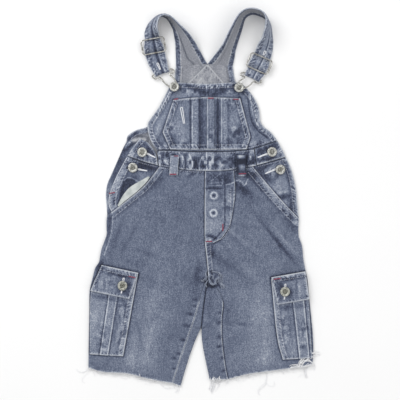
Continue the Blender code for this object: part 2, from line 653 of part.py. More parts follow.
def build_hooks(home):
    """Each hook's wire runs from its bar in the strap's fold to a keyhole round the bib button."""
    half = np.array(HOOK_HALF)
    closed = np.vstack([half, half[-2:0:-1] * (-1, 1)])
    shape = smooth(np.vstack([closed, closed[:1]]), HOOK_POINTS + 1)[:-1]
    for hand in STRAPS:
        x, y, _, _, heading, _ = STRAPS[hand][-1]
        bar = np.array([x, y])
        button_x, button_y, kind = BUTTONS[f"bib_{hand}"]
        towards = np.array([button_x, button_y]) - bar
        distance = np.linalg.norm(towards)
        reach = distance + SHANK_RADIUS + WIRE_RADIUS + HOOK_SLACK
        dense = shape * (1, reach / half[-1, 1])
        across = -np.array([math.cos(math.radians(heading)), math.sin(math.radians(heading))])
        plan = bar + dense[:, :1] * across + dense[:, 1:] * towards / distance
        keyhole = SURFACES[kind](plan[:, 0], plan[:, 1]) + GAP + WIRE_RADIUS
        share = np.clip(dense[:, 1] / 20, 0, 1)
        share = share * share * (3 - 2 * share)
        height = HOOK_BAR_LIFT + (keyhole - HOOK_BAR_LIFT) * share
        wire(f"hook_{hand}", np.column_stack([plan, height]), "wire_metal", home)


def build_buttons(home):
    """Turned buttons on short shanks, each square to the cloth under it."""
    for name, (x, y, kind) in BUTTONS.items():
        surface = SURFACES[kind]
        slope_x = float(surface(x + 3.0, y) - surface(x - 3.0, y)) / 6
        slope_y = float(surface(x, y + 3.0) - surface(x, y - 3.0)) / 6
        shank = SHANK_HEIGHT[kind]
        profile = (
            (0, shank + 1.5), (1.9, shank + 1.5), (3.1, shank + 2.5), (5.6, shank + 2.5),
            (BUTTON_RADIUS, shank + 1.1), (BUTTON_RADIUS - 0.8, shank), (SHANK_RADIUS, shank),
            (SHANK_RADIUS, 0), (0, 0),
        )
        mesh = bpy.data.meshes.new(f"button_{name}")
        edges = [(i, i + 1) for i in range(len(profile) - 1)]
        mesh.from_pydata([(r * MM, 0, z * MM) for r, z in profile], edges, [])
        button = add(f"button_{name}", mesh, "button_metal", home)
        screw = button.modifiers.new("turned", "SCREW")
        screw.steps = screw.render_steps = BUTTON_SIDES
        screw.use_merge_vertices = True
        screw.merge_threshold = 1e-5
        normal = Vector((-slope_x, -slope_y, 1)).normalized()
        button.rotation_euler = normal.to_track_quat("Z", "Y").to_euler()
        button.location = Vector((x, y, float(surface(x, y)))) * MM


def build_frays(home):
    """Raw hems: strands fused to a narrow strip along each hem, parted from the cloth's edge."""
    rng = np.random.default_rng(FRAY_SEED)
    hems = {"left": (LEFT_HEM, LEFT_ROLL_HEM), "right": (RIGHT_ROLL_HEM, RIGHT_HEM)}
    for hand, stretches in hems.items():
        edge = side(*stretches, step=FRAY_STEP)
        along = np.gradient(edge, axis=0)
        along /= np.linalg.norm(along, axis=1, keepdims=True)
        outward = np.column_stack([along[:, 1], -along[:, 0]])
        grid = np.stack([edge + outward * (GAP + FRAY_ROOT), edge + outward * GAP])
        under = under_front(edge[:, 0], edge[:, 1] + 2)
        obj = wall(f"hem_fray_{hand}", grid, np.stack([under, under]), DENIM, "fray", home)
        bm = bmesh.new()
        bm.from_mesh(obj.data)
        outer = []
        for face in bm.faces:
            near = np.abs(edge[:, 0] * MM - face.calc_center_median().x).argmin()
            if np.dot(outward[near], face.normal[:2]) > 0.8:
                outer.append(face)
        strands = bmesh.ops.extrude_discrete_faces(bm, faces=outer)["faces"]
        strands = sorted(strands, key=lambda strand: strand.calc_center_median().x)
        for number, face in enumerate(strands):
            centre = face.calc_center_median()
            length = rng.uniform(*FRAY_LENGTHS) * MM
            # Neighbours lean nearly alike, so no strand crosses another.
            sway = FRAY_SWAY * math.sin(number / FRAY_WAVE) + rng.uniform(-FRAY_STRAY, FRAY_STRAY)
            lean = Vector((face.normal.y, -face.normal.x, 0)) * sway
            tip = centre + (face.normal + lean).normalized() * length
            tip.z = FRAY_TIP_LIFT * MM
            for vert in face.verts:
                vert.co = tip + (vert.co - centre) * 0.3
        bm.to_mesh(obj.data)
        bm.free()


def centre_on_origin(home):
    """Moves every piece so that the origin is the middle of the whole garment's underside."""
    bpy.context.view_layer.update()
    graph = bpy.context.evaluated_depsgraph_get()
    points = []
    for obj in home.objects:
        evaluated = obj.evaluated_get(graph)
        points += [evaluated.matrix_world @ vert.co for vert in evaluated.to_mesh().vertices]
        evaluated.to_mesh_clear()
    low, high = np.min(points, axis=0), np.max(points, axis=0)
    middle = Vector(((low[0] + high[0]) / 2, (low[1] + high[1]) / 2, low[2]))
    for collection in bpy.context.scene.collection.children:
        for obj in collection.objects:
            obj.location -= middle
    print("origin in the plan:", round(middle.x / MM, 2), round(middle.y / MM, 2))


def main():
    for obj in list(bpy.data.objects):
        bpy.data.objects.remove(obj)
    home = bpy.data.collections.new("kids_dungarees")
    cutters = bpy.data.collections.new("cutters")
    bpy.context.scene.collection.children.link(home)
    bpy.context.scene.collection.children.link(cutters)
    build_back(home)
    build_front_legs(home)
    build_inseam_rolls(home)
    build_hips(home)
    build_waist(home)
    build_bib(home)
    build_fly(home)
    build_cargo(home)
    build_straps(home)
    build_sliders(home, cutters)
    build_hooks(home)
    build_buttons(home)
    build_frays(home)
    centre_on_origin(home)


main()
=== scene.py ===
# %% [markdown]
# # A small child's denim bib shorts, laid flat
#
# The garment lies on its back with the front up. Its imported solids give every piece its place
# and thickness. This lesson dresses them: each cloth piece becomes a fine, thin shell with the
# puckers, creases and washed colours of real denim, and the stitches, buttons and wires get
# their true forms. All plans are in millimetres from the centre front (x, to the right) and the
# hip line (y, towards the straps), as a pattern cutter would draw them.

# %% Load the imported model
import math

import bpy
import numpy as np
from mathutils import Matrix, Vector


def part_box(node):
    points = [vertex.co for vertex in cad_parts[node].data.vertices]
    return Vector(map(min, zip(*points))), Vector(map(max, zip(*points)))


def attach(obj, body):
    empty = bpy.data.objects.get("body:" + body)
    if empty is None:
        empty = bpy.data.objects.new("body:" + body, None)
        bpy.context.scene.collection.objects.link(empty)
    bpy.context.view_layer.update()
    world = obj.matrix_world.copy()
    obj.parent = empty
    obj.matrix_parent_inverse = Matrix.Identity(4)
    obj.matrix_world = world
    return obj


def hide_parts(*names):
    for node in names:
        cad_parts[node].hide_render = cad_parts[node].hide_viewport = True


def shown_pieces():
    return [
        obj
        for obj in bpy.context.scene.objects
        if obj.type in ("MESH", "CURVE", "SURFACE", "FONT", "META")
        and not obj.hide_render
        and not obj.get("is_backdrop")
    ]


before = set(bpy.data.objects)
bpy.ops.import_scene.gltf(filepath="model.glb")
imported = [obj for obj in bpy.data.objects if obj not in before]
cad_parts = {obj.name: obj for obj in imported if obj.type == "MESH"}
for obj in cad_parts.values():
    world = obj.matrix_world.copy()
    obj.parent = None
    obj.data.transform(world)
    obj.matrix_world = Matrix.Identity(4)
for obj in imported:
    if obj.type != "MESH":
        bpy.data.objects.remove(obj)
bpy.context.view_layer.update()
MM = 0.001
STRIP = ((3, 81.5), (15, 81.5), (15, 163), (3, 163))
# The strip down the bib pocket has no seam allowance, so its corner ties the plan to the solids.
SHIFT = np.array(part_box("bib_pocket_strip")[0][:2]) / MM - STRIP[0]
print("nodes:", len(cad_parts), "plan shift in mm:", SHIFT.round(2))

# %% [markdown]
# ## The camera, the light and the table
#
# A laid-flat garment is looked at from straight above. A long lens far away keeps the outline
# true. A large soft lamp at the upper left makes the puckers read, and a weaker one at the right
# keeps their hollows from turning black.

# %% Camera, lamps and floor
CAMERA_PLAN, CAMERA_HEIGHT, FRAMED_WIDTH, SENSOR = (-8, 0), 1510, 640, 36.0
eye = np.array([CAMERA_PLAN[0] + SHIFT[0], CAMERA_PLAN[1] + SHIFT[1], CAMERA_HEIGHT]) * MM
camera = bpy.data.objects.new("camera", bpy.data.cameras.new("camera"))
camera.data.sensor_width = SENSOR
camera.data.lens = SENSOR * CAMERA_HEIGHT / FRAMED_WIDTH
camera.location = eye
bpy.context.scene.collection.objects.link(camera)
bpy.context.scene.camera = camera

WORLD_STRENGTH = 0.80
# Each lamp: place, size, power, all aimed at the garment's middle.
LAMPS = {
    "key": ((-0.9, 0.9, 1.1), 0.9, 12.0),
    "fill": ((1.2, -0.4, 1.3), 1.6, 6.0),
}
for name, (place, size, power) in LAMPS.items():
    lamp = bpy.data.objects.new(name, bpy.data.lights.new(name, "AREA"))
    lamp.data.size, lamp.data.energy = size, power
    lamp.location = place
    lamp.rotation_euler = (-lamp.location).to_track_quat("-Z", "Y").to_euler()
    bpy.context.scene.collection.objects.link(lamp)
world = bpy.data.worlds.new("studio")
world.use_nodes = True
background = world.node_tree.nodes["Background"]
background.inputs["Color"].default_value = (1, 1, 1, 1)
background.inputs["Strength"].default_value = WORLD_STRENGTH
bpy.context.scene.world = world
bpy.context.scene.view_settings.view_transform = "Standard"
print("lens in mm:", round(camera.data.lens, 1))

# %% [markdown]
# ## Numbers that look random but never change
#
# Washed cloth is irregular. A hashed lattice, smoothed between its points, gives an irregular
# field that is the same on every run, which a random generator inside a loop would not promise.

# %% Smooth noise and smooth steps


def lattice(column, row, seed):
    """A value from 0 to 1 for each whole-numbered lattice point: the fraction of a large sine."""
    mixed = np.sin(column * 127.1 + row * 311.7 + seed * 74.7) * 43758.5453
    return mixed - np.floor(mixed)


def noise(u, v, seed):
    """Lattice values blended by 3t^2 - 2t^3 along u and then along v."""
    left, low = np.floor(u), np.floor(v)
    s, t = u - left, v - low
    s, t = s * s * (3 - 2 * s), t * t * (3 - 2 * t)
    bottom = lattice(left, low, seed) * (1 - s) + lattice(left + 1, low, seed) * s
    top = lattice(left, low + 1, seed) * (1 - s) + lattice(left + 1, low + 1, seed) * s
    return bottom * (1 - t) + top * t


def ease(value, start, end):
    """0 before start, 1 after end and 3t^2 - 2t^3 between them."""
    t = np.clip((value - start) / (end - start), 0, 1)
    return t * t * (3 - 2 * t)


def rounded(edge, radius):
    """A quarter circle: 0 at an edge and 1 from a radius away."""
    return np.sqrt(1 - (1 - np.clip(edge / radius, 0, 1)) ** 2)


def bell(value, width):
    """A Gaussian of this width, 1 at 0."""
    return np.exp(-((value / width) ** 2))


def humps(rows, x, y):
    """Gaussian humps, each stretched along its own direction, times each of its strengths.
    A row is: middle x, middle y, half length, half breadth, turn in degrees, then strengths."""
    total = np.zeros((len(rows[0]) - 5 if rows else 1, *np.shape(x)))
    for middle_x, middle_y, long, broad, turn, *strengths in rows:
        c, s = math.cos(math.radians(turn)), math.sin(math.radians(turn))
        a = ((x - middle_x) * c + (y - middle_y) * s) / long
        b = ((y - middle_y) * c - (x - middle_x) * s) / broad
        total += np.multiply.outer(strengths, np.exp(-a * a - b * b))
    return total


print("noise at two places:", [round(float(noise(u, 2, 1)), 3) for u in (3, 3.5)])

# %% [markdown]
# ## The pattern: lines and grids
#
# A pattern piece is four sides. A Coons patch fills them with a grid of plan points that follows
# all four, so a crease or a hem can follow the cloth's own edge. Extra grid lines close to the
# edges let the cloth's edge be rounded as a fold is.

# %% Curves through pattern points


def runs_of(line):
    """How far along a polyline each of its points is."""
    return np.r_[0, np.cumsum(np.linalg.norm(np.diff(line, axis=0), axis=1))]


def at_lengths(line, fractions):
    """Points of the polyline at these fractions of its length."""
    line = np.asarray(line, float)
    run = runs_of(line)
    return np.column_stack([np.interp(np.asarray(fractions) * run[-1], run, c) for c in line.T])


def spaced(points, fractions):
    """Points at these fractions of the length of the Catmull-Rom curve through the given ones."""
    given = np.asarray(points, float)
    p = np.vstack([2 * given[0] - given[1], given, 2 * given[-1] - given[-2]])
    a, b, c, d = (p[i : len(p) - 3 + i, None] for i in range(4))
    t = np.linspace(0, 1, 20, endpoint=False)[None, :, None]
    cubic = 2 * b + (c - a) * t + (2 * a - 5 * b + 4 * c - d) * t**2 + (3 * b - a - 3 * c + d) * t**3
    return at_lengths(np.vstack([0.5 * cubic.reshape(-1, given.shape[1]), given[-1:]]), fractions)


def smooth(points, count):
    """A number of evenly spaced points of the curve through the given ones."""
    return spaced(points, np.linspace(0, 1, count))


def length_of(line):
    """The length of a polyline: the sum of its steps."""
    return np.linalg.norm(np.diff(np.asarray(line, float), axis=0), axis=1).sum()


def side(*stretches, step=4.0):
    """Stretches end to end as one dense line, with a corner where two of them meet."""
    runs = [smooth(s, max(2, round(length_of(s) / step) + 1)) for s in stretches]
    return np.vstack([runs[0]] + [run[1:] for run in runs[1:]])


def unit(vectors):
    """Vectors divided by their lengths."""
    return vectors / np.linalg.norm(vectors, axis=-1, keepdims=True)


def leftward(vectors):
    """Plan vectors turned by a quarter to their left."""
    return np.stack([-vectors[..., 1], vectors[..., 0]], -1)


def raised(plan, height):
    """Plan points with their heights as a third coordinate."""
    return np.concatenate([plan, height[..., None]], -1)


print("a side of 3 points gets", len(side(((0, 0), (30, 5), (60, 0)))))

# %% Grids between four sides
EDGE_LINES = (0.0, 0.3, 0.8, 1.5)


def fractions(length, step):
    """Fractions along a length, about a step apart, with extra ones close to both ends."""
    near = np.array(EDGE_LINES) / max(length, 3 * EDGE_LINES[-1])
    middle = np.linspace(near[-1], 1 - near[-1], max(2, round(length / step)))
    return np.r_[near[:-1], middle, 1 - near[-2::-1]]


def patch(bottom, right, top, left, step, flush=()):
    """The Coons grid between four sides: opposite sides blended, less the blended corners.
    Returns plan points and each one's distance from the nearest edge that isn't flush."""
    u = fractions(max(length_of(bottom), length_of(top)), step)
    middles = at_lengths(bottom, [0.5])[0], at_lengths(top, [0.5])[0]
    v = fractions(max(length_of(left), length_of(right), length_of(middles)), step)
    bottom, top = at_lengths(bottom, u), at_lengths(top, u)
    left, right = at_lengths(left, v), at_lengths(right, v)
    s, t = u[None, :, None], v[:, None, None]
    grid = (1 - s) * left[:, None] + s * right[:, None] + (1 - t) * bottom[None] + t * top[None]
    grid -= ((1 - s) * (1 - t) * bottom[0] + s * (1 - t) * bottom[-1]
             + (1 - s) * t * top[0] + s * t * top[-1])
    across = np.linalg.norm(np.diff(grid, axis=1), axis=2).sum(1)[:, None]
    along = np.linalg.norm(np.diff(grid, axis=0), axis=2).sum(0)[None]
    gaps = {"left": u[None] * across, "right": (1 - u)[None] * across,
            "bottom": v[:, None] * along, "top": (1 - v)[:, None] * along}
    edge = np.minimum.reduce([gap + 0 * grid[..., 0] for name, gap in gaps.items()
                              if name not in flush])
    return grid, edge


def quad(corners, step):
    """The grid between four corners, anticlockwise from the bottom left."""
    a, b, c, d = corners
    return patch(side((a, b)), side((b, c)), side((d, c)), side((a, d)), step)


def between(sides, step):
    """The grid between the four sides of a piece, given by their names."""
    return patch(*(sides[name] for name in ("bottom", "right", "top", "left")), step)


print("a square's grid:", quad(((0, 0), (10, 0), (10, 10), (0, 10)), 1)[1].shape)

# %% Places beside a line


def beside(line, x, y):
    """Each point's distance from a line, and how far along it the nearest place is."""
    nearest, place, run = np.full(np.shape(x), 1e9), np.zeros(np.shape(x)), 0.0
    for (ax, ay), (bx, by) in zip(line[:-1], line[1:]):
        length = math.hypot(bx - ax, by - ay)
        dx, dy = (bx - ax) / length, (by - ay) / length
        t = np.clip((x - ax) * dx + (y - ay) * dy, 0, length)
        away = np.hypot(x - ax - t * dx, y - ay - t * dy)
        closer = away < nearest
        nearest, place = np.where(closer, away, nearest), np.where(closer, run + t, place)
        run += length
    return nearest, place


def shifted(line, by, pitch):
    """The line moved to its left by a distance (to its right if negative), in even steps."""
    even = at_lengths(line, np.linspace(0, 1, max(2, round(length_of(line) / pitch) + 1)))
    return even + by * leftward(unit(np.gradient(even, axis=0)))


print("(3, 4) beside the x axis:", *beside(((0, 0), (9, 0)), 3.0, 4.0))

# %% [markdown]
# ## The pattern's own numbers
#
# The seams and edges below are the ones that the solids were cut to. They are written once and
# shared by the two pieces that meet at a seam, so neighbours always fit.

# %% Seams and edges of the front
WAIST_TOP = ((-76.5, 79), (-56.5, 79), (-24, 77.3), (0, 77), (32, 77.3), (59, 79), (78, 81.8))
WAIST_BOTTOM = ((-74, 54.5), (-54.5, 51), (-24, 47.5), (0, 46.5), (32, 47), (66.5, 52), (82, 55))
LEFT_LEG_WAIST = ((-72, 54.1), (-54.5, 51), (-24, 47.5), (0, 46.5))
RIGHT_LEG_WAIST = ((0, 46.5), (32, 47), (62, 51.2), (76, 53.6))
CENTRE_FRONT = ((0, 46.5), (-0.5, 16), (-1, -24), (-0.5, -64), (2.5, -92.5), (5, -121))
LEFT_POCKET_MOUTH = ((-148.5, -20), (-127.5, -3), (-110, 11), (-94, 25.5), (-72, 54.1))
RIGHT_POCKET_MOUTH = ((76, 53.6), (91, 35.5), (111.5, 11.5), (130.5, -9.5), (150, -29.5))
LEFT_INSEAM = ((5, -121), (-2, -136), (-6.8, -150), (-10, -164.5), (-15.3, -183.5), (-21.5, -202),
               (-37.5, -247.5), (-52, -292.5))
RIGHT_INSEAM = ((5, -121), (16, -136), (25, -150), (29.3, -165), (27.5, -185), (27, -207.5),
                (28.5, -232.5), (32.5, -263), (37, -286))
LEG_SPLIT = ((5, -121), (3.5, -135), (1.5, -143.5), (-2.5, -171), (-6, -203.5))
LEFT_INNER_EDGE = ((-6, -203.5), (-18.5, -232.5), (-29, -263.5), (-39, -297.5))
RIGHT_INNER_EDGE = ((-6, -203.5), (-5, -223.5), (-1, -248), (7.5, -287.5))
LEFT_SIDE = ((-148.5, -20), (-156.5, -26), (-157.5, -44), (-157.5, -56), (-166, -80),
             (-169.5, -99), (-175.5, -108.5), (-180.5, -127.5), (-184.5, -145.5), (-185, -175.5),
             (-186, -231.5), (-186.5, -268))
RIGHT_SIDE = ((150, -29.5), (149.5, -55.5), (155, -72.5), (157.5, -95), (161, -113.5),
              (164, -127.5), (167, -159.5), (172.5, -217), (173, -247.5), (171.5, -262))
LEFT_HEM = ((-186.5, -268), (-161.5, -274.5), (-124, -277), (-88, -286), (-52, -292.5))
LEFT_ROLL_HEM = ((-52, -292.5), (-39, -297.5))
RIGHT_ROLL_HEM = ((7.5, -287.5), (37, -286))
RIGHT_HEM = ((37, -286), (67.5, -278), (113.5, -271.5), (156.5, -265.5), (171.5, -262))
LEFT_FACING_SIDE = ((-124.5, 69.5), (-134, 52.5), (-143.5, 33.5), (-152.5, 9.5), (-154, -8),
                    (-148.5, -20))
RIGHT_FACING_SIDE = ((129.5, 68), (135.5, 55), (141, 39), (145.5, 17.5), (148, -6.5),
                     (150, -29.5))
BIB_LEFT = ((-76.5, 80), (-82.5, 87.5), (-89, 101), (-92, 117.5), (-90, 125.5), (-82, 136.5),
            (-73.5, 149), (-65.5, 164), (-59, 177.5))
BIB_TOP = ((-59, 177.5), (-52.5, 186), (-40, 187.5), (1.5, 185.5), (43, 187.5), (57.5, 186.5),
           (66, 178.5))
BIB_RIGHT = ((115.5, 95), (105.5, 108.5), (95.5, 116), (89, 124.5), (87.5, 137.5), (84.5, 151.5),
             (76, 167), (66, 178.5))
BIB_BOTTOM = ((-76.5, 80), (-56.5, 80), (-24, 78), (0, 78), (32, 78), (59, 80), (78, 82.8),
              (115.5, 95.5))
TABS = {
    "left": {
        "bottom": ((-124, 71), (-100.5, 62.2), (-75.2, 55.3)),
        "right": ((-75.2, 55.3), (-77.5, 71), (-83.5, 82.5), (-91.5, 92)),
        "top": ((-103.5, 98), (-91.5, 92)), "left": ((-124, 71), (-114, 86), (-103.5, 98)),
    },
    "right": {
        "bottom": ((82.7, 55.5), (105.5, 61.8), (129, 69)),
        "right": ((129, 69), (123, 82), (116, 94)),
        "top": ((79, 81.8), (97.5, 87.8), (116, 94)), "left": ((82.7, 55.5), (79, 81.8)),
    },
}

print(f"waist {length_of(WAIST_TOP):.0f} mm, left inseam {length_of(LEFT_INSEAM):.0f} mm")

# %% The back
BACK_WAIST_LEFT = ((-138.5, 66), (0, 61))
BACK_WAIST_RIGHT = ((0, 61), (129, 66))
BACK_LEFT = ((-138.5, 66), (-130, 85), (-125.5, 93), (-125, 99), (-122, 104.5), (-109.5, 112),
             (-92, 117.5), (-72, 136), (-56, 160), (-50, 185.5), (-47, 214))
BACK_RIGHT = ((129, 66), (114.5, 94.5), (95, 113.5), (73.5, 132.5), (57.5, 158.5), (49.5, 185.5),
              (44.5, 214))
BACK_V = (4, 218)
BACK_LEFT_SIDE = ((-138.5, 66), (-149.5, 41), (-156.5, 24.5), (-158.5, 6), (-157, -14.5))
BACK_RIGHT_SIDE = ((129, 66), (136, 55), (141, 39), (146, 17.5), (148, -6.5))
CENTRE_BACK = ((0, 61), (-1, -40), (5, -121))
YOKE = ((-37, 178), (38, 178), (5.8, 215.5), (2.2, 215.5))
print(f"centre back {length_of(CENTRE_BACK):.0f} mm")

# %% What is sewn on the front
BIB_POCKET = {
    "bottom": (((-55.5, 80.8), (1.5, 80.2), (66, 80.8)),),
    "right": (((66, 80.8), (72.5, 100.5)), ((72.5, 100.5), (56, 162))),
    "top": (((-50.5, 159.5), (-24, 162.5), (1.5, 164), (28.5, 163), (56, 162)),),
    "left": (((-55.5, 80.8), (-67.5, 108)), ((-67.5, 108), (-50.5, 159.5))),
}
FLY = {
    "bottom": (((1, -69.5), (14, -68)),),
    "right": (((14, -68), (27, -60), (39.5, -39.5), (44.5, -15.5), (48, 13.5), (46, 46)),),
    "top": (((0.8, 45.3), (46, 46)),),
    "left": (((1, -69.5), (0.3, -24), (0.8, 45.3)),),
}
# Concealed buttons push domes up through the fly: x, y, radius, rise.
FLY_DOMES = ((14, 7, 8.0, 1.3), (13.5, -20.5, 8.0, 1.3))
LINING_PIECE = {
    "bottom": ((-138, -10.5), (-127, -1.3), (-109.5, 12.6), (-95, 26.5), (-88, 36.2)),
    "top": ((-139.5, -8.5), (-130.2, 8.5), (-118.8, 21.2), (-104.6, 29.6), (-90.5, 37.8)),
}
CARGO_POCKETS = {
    "left": {
        "bottom": ((-184, -246), (-130.5, -249)), "right": ((-130.5, -249), (-107, -119)),
        "top": ((-165.5, -107), (-107, -119)), "left": ((-184, -246), (-182, -150), (-165.5, -107)),
    },
    "right": {
        "bottom": ((124, -254.5), (171, -252)), "right": ((171, -252), (165.5, -165), (159, -117)),
        "top": ((105.5, -126), (159, -117)), "left": ((124, -254.5), (114.5, -215), (105.5, -126)),
    },
}
PLEATS = {"left": (0.29, 0.54), "right": (0.54, 0.89)}
CARGO_FLAPS = {
    "left": ((-182.5, -144.5), (-120.5, -157.5), (-106, -116), (-164.5, -103.5)),
    "right": ((115.5, -166.5), (166, -158), (160, -113.5), (105.5, -123)),
}
BELT_LOOPS = {
    "left": (((-57, 39), (-43.5, 39), (-41.5, 71), (-55, 71)), 2.2),
    "right": (((51, 37.5), (65.5, 37.5), (65, 71.5), (50, 71.5)), 3.6),
}
BUTTONS = {
    "bib_left": (-48.5, 180, "bib"), "bib_right": (54, 178.5, "bib"),
    "side_left_upper": (-100, 76, "waist"), "side_left_lower": (-115, 51.5, "facing"),
    "side_right_upper": (106.5, 76.5, "waist"), "side_right_lower": (120, 48.5, "facing"),
    "cargo_left": (-131, -136, "flap"), "cargo_right": (127, -145.5, "flap"),
}
SHANK_HEIGHT = {"bib": 3.2, "waist": 1.0, "facing": 1.0, "flap": 1.0}
print("belt loops:", len(BELT_LOOPS), "buttons:", len(BUTTONS))

# %% [markdown]
# ## How high each layer lies
#
# The back lies on the table. The front stands off it by a puff that falls to nothing at the
# outline, with broad humps where the cloth gapes or piles up. Every layer adds its thickness and
# a small gap, so no two layers ever cut through each other.

# %% Layers
DENIM, DOUBLE_DENIM, LINING, STRAP_CLOTH, STRAP_CLEAR, GAP = 1.5, 2.4, 1.0, 2.0, 0.15, 0.3
PUFFS = (
    (-112, 14, 28, 9, 41, 2.6), (110, 8, 45, 7, -47, 1.2), (30, 14, 24, 9, 8, 1.4),
    (22, -78, 20, 9, 70, 1.2), (48, -95, 34, 7, -42, 1.4), (5, -127, 12, 9, 0, 3.2),
    (-28, -118, 30, 7, 55, 1.2), (120, -70, 38, 6, -50, 1.6), (-90, -60, 40, 12, 80, 0.8),
    (-150, -205, 50, 14, 88, 1.4), (146, -205, 50, 13, -86, 1.2), (-20, -235, 40, 10, 70, 1.5),
    (62, -235, 40, 12, 86, 1.8), (-70, 120, 22, 7, 60, 1.4), (84, 110, 24, 7, -60, 1.6),
    (0, 172, 60, 9, 0, 1.4),
)
CALM_HEIGHT, CALM_WIDTH, FACING_PUFF, PLEAT_RISE = 1.8, 14.0, 1.5, 0.9
# Two gentle waves of the whole front: height, size across and along in mm, seed.
ROLLING = ((0.5, 19, 26, 3), (0.3, 8, 11, 4))
# Where the front comes down to the back: y, then x at the left and the right.
FRONT_EDGES = (
    (-298, -187, 172), (-232, -186, 173), (-145, -184, 166), (-100, -170, 158), (-56, -157, 150),
    (-20, -154, 149), (10, -152, 146), (70, -124, 129), (95, -103, 115), (127, -92, 88), (167, -63, 76),
    (187, -55, 62),
)
INNER_EDGES = ((-298, -39.5, 8), (-263, -29, 2), (-232, -18.5, -4), (-203, -6, -6))
# Soft creases that every front layer shares: as PUFFS, with the height last.
CREASES = (
    (120, -72, 34, 2.6, -50, -0.9), (128, -66, 30, 3, -50, 0.5), (40, -92, 26, 2.4, -44, -0.6),
    (30, -100, 22, 2.2, -60, -0.5), (-24, -112, 26, 2.4, 52, -0.5), (-14, -98, 18, 2.2, 62, 0.4),
    (95, -40, 30, 3, -48, -0.4), (70, -20, 34, 3, -56, 0.35), (-120, -60, 28, 3, 60, -0.4),
    (-80, -150, 36, 4, 74, 0.4), (-100, -200, 40, 4, 82, -0.4), (70, -170, 40, 5, 80, -0.4),
    (96, -215, 40, 4, 84, 0.4), (-60, -240, 36, 4, 74, -0.4),
)


def inset(x, y):
    """How far inside the edges where the front comes down to the back a point is."""
    heights, lefts, rights = np.array(FRONT_EDGES).T
    outer = np.minimum(x - np.interp(y, heights, lefts), np.interp(y, heights, rights) - x)
    heights, lefts, rights = np.array(INNER_EDGES).T
    left, right = np.interp(y, heights, lefts), np.interp(y, heights, rights)
    inner = np.where(2 * x < left + right, left - x, x - right)
    return np.where(y < heights[-1], np.minimum(outer, inner), outer)


def puff(x, y):
    """How far the front stands off the back: a calm height plus humps, falling to 0 at edges."""
    calm = 1 - np.exp(-np.maximum(inset(x, y), 0) / CALM_WIDTH)
    rolling = sum(share * (noise(x / wide, y / long, seed) - 0.5)
                  for share, wide, long, seed in ROLLING)
    total = CALM_HEIGHT + humps(PUFFS, x, y)[0] + humps(CREASES, x, y)[0] + rolling
    return calm * np.maximum(total, 0)


def above(surface, *layers):
    """The top of layers laid on a surface, as a function of plan points."""
    def top(x, y):
        return surface(x, y) + sum(layers)
    return top


def on_table(x, y):
    """Height 0 everywhere."""
    return np.zeros(np.shape(x))


def facing_low(x, y):
    """The underside of the hip facings: on the back, with a limited share of the front's puff."""
    return DENIM + GAP + np.minimum(puff(x, y), FACING_PUFF)


on_back = above(puff, DENIM, GAP)
on_plain_back = above(on_table, DENIM, GAP)
on_facing = above(facing_low, DENIM, GAP)
on_front = above(on_back, DENIM, GAP)
on_double = above(on_back, DOUBLE_DENIM, GAP)
on_bib_pocket = above(on_front, DENIM, GAP)
on_cargo_pocket = above(on_front, DENIM, PLEAT_RISE, GAP)
on_flap = above(on_cargo_pocket, DOUBLE_DENIM, GAP)
SURFACES = {"bib": on_double, "waist": on_double, "facing": on_facing, "flap": on_flap}
print(f"the front's height at the left thigh: {on_front(-90.0, -150.0):.1f} mm")

# %% [markdown]
# ## Meshes from arrays
#
# A mesh is points, then the corners of its faces. Handing Blender whole arrays is hundreds of
# times faster than adding faces one by one, and cloth needs tens of thousands of them.

# %% Mesh builders


def mesh_of(name, points, *faces, **values):
    """A smooth mesh from plan points in mm and blocks of faces, with values stored per point."""
    mesh = bpy.data.meshes.new(name)
    placed = (np.asarray(points, float) + np.r_[SHIFT, 0]) * MM
    corners = np.concatenate([block.ravel() for block in faces])
    sizes = np.concatenate([np.full(len(block), block.shape[1]) for block in faces])
    mesh.vertices.add(len(placed))
    mesh.vertices.foreach_set("co", placed.ravel())
    mesh.loops.add(len(corners))
    mesh.loops.foreach_set("vertex_index", corners)
    mesh.polygons.add(len(sizes))
    mesh.polygons.foreach_set("loop_start", np.r_[0, np.cumsum(sizes)[:-1]])
    mesh.polygons.foreach_set("use_smooth", np.ones(len(sizes), bool))
    for key, value in values.items():
        wide = np.ndim(value) == 2
        made = mesh.attributes.new(key, "FLOAT_VECTOR" if wide else "FLOAT", "POINT")
        made.data.foreach_set("vector" if wide else "value", np.ravel(value).astype(np.float32))
    mesh.update(calc_edges=True)
    return mesh


def show(name, slot, material, replaces, points, *faces, **values):
    """Makes a piece from its mesh: it rides on the garment and stands for its solid, if any."""
    obj = bpy.data.objects.new(name, mesh_of(name, points, *faces, **values))
    bpy.context.scene.collection.objects.link(obj)
    obj.data.materials.append(material)
    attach(obj, "root")
    if replaces:
        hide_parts(replaces)
    return obj


def shell_faces(rows, columns):
    """Quads of a closed shell: a grid facing up, a second one under it facing down, and the rim
    between their borders. Points are numbered row by row, the upper grid first."""
    number = np.arange(rows * columns).reshape(rows, columns)
    up = np.stack([number[:-1, :-1], number[:-1, 1:], number[1:, 1:], number[1:, :-1]], -1)
    up = up.reshape(-1, 4)
    border = np.r_[number[0, :-1], number[:-1, -1], number[-1, :0:-1], number[:0:-1, 0]]
    following = np.roll(border, -1)
    below = rows * columns
    rim = np.stack([border, border + below, following + below, following], -1)
    return np.vstack([up, up[:, ::-1] + below, rim])


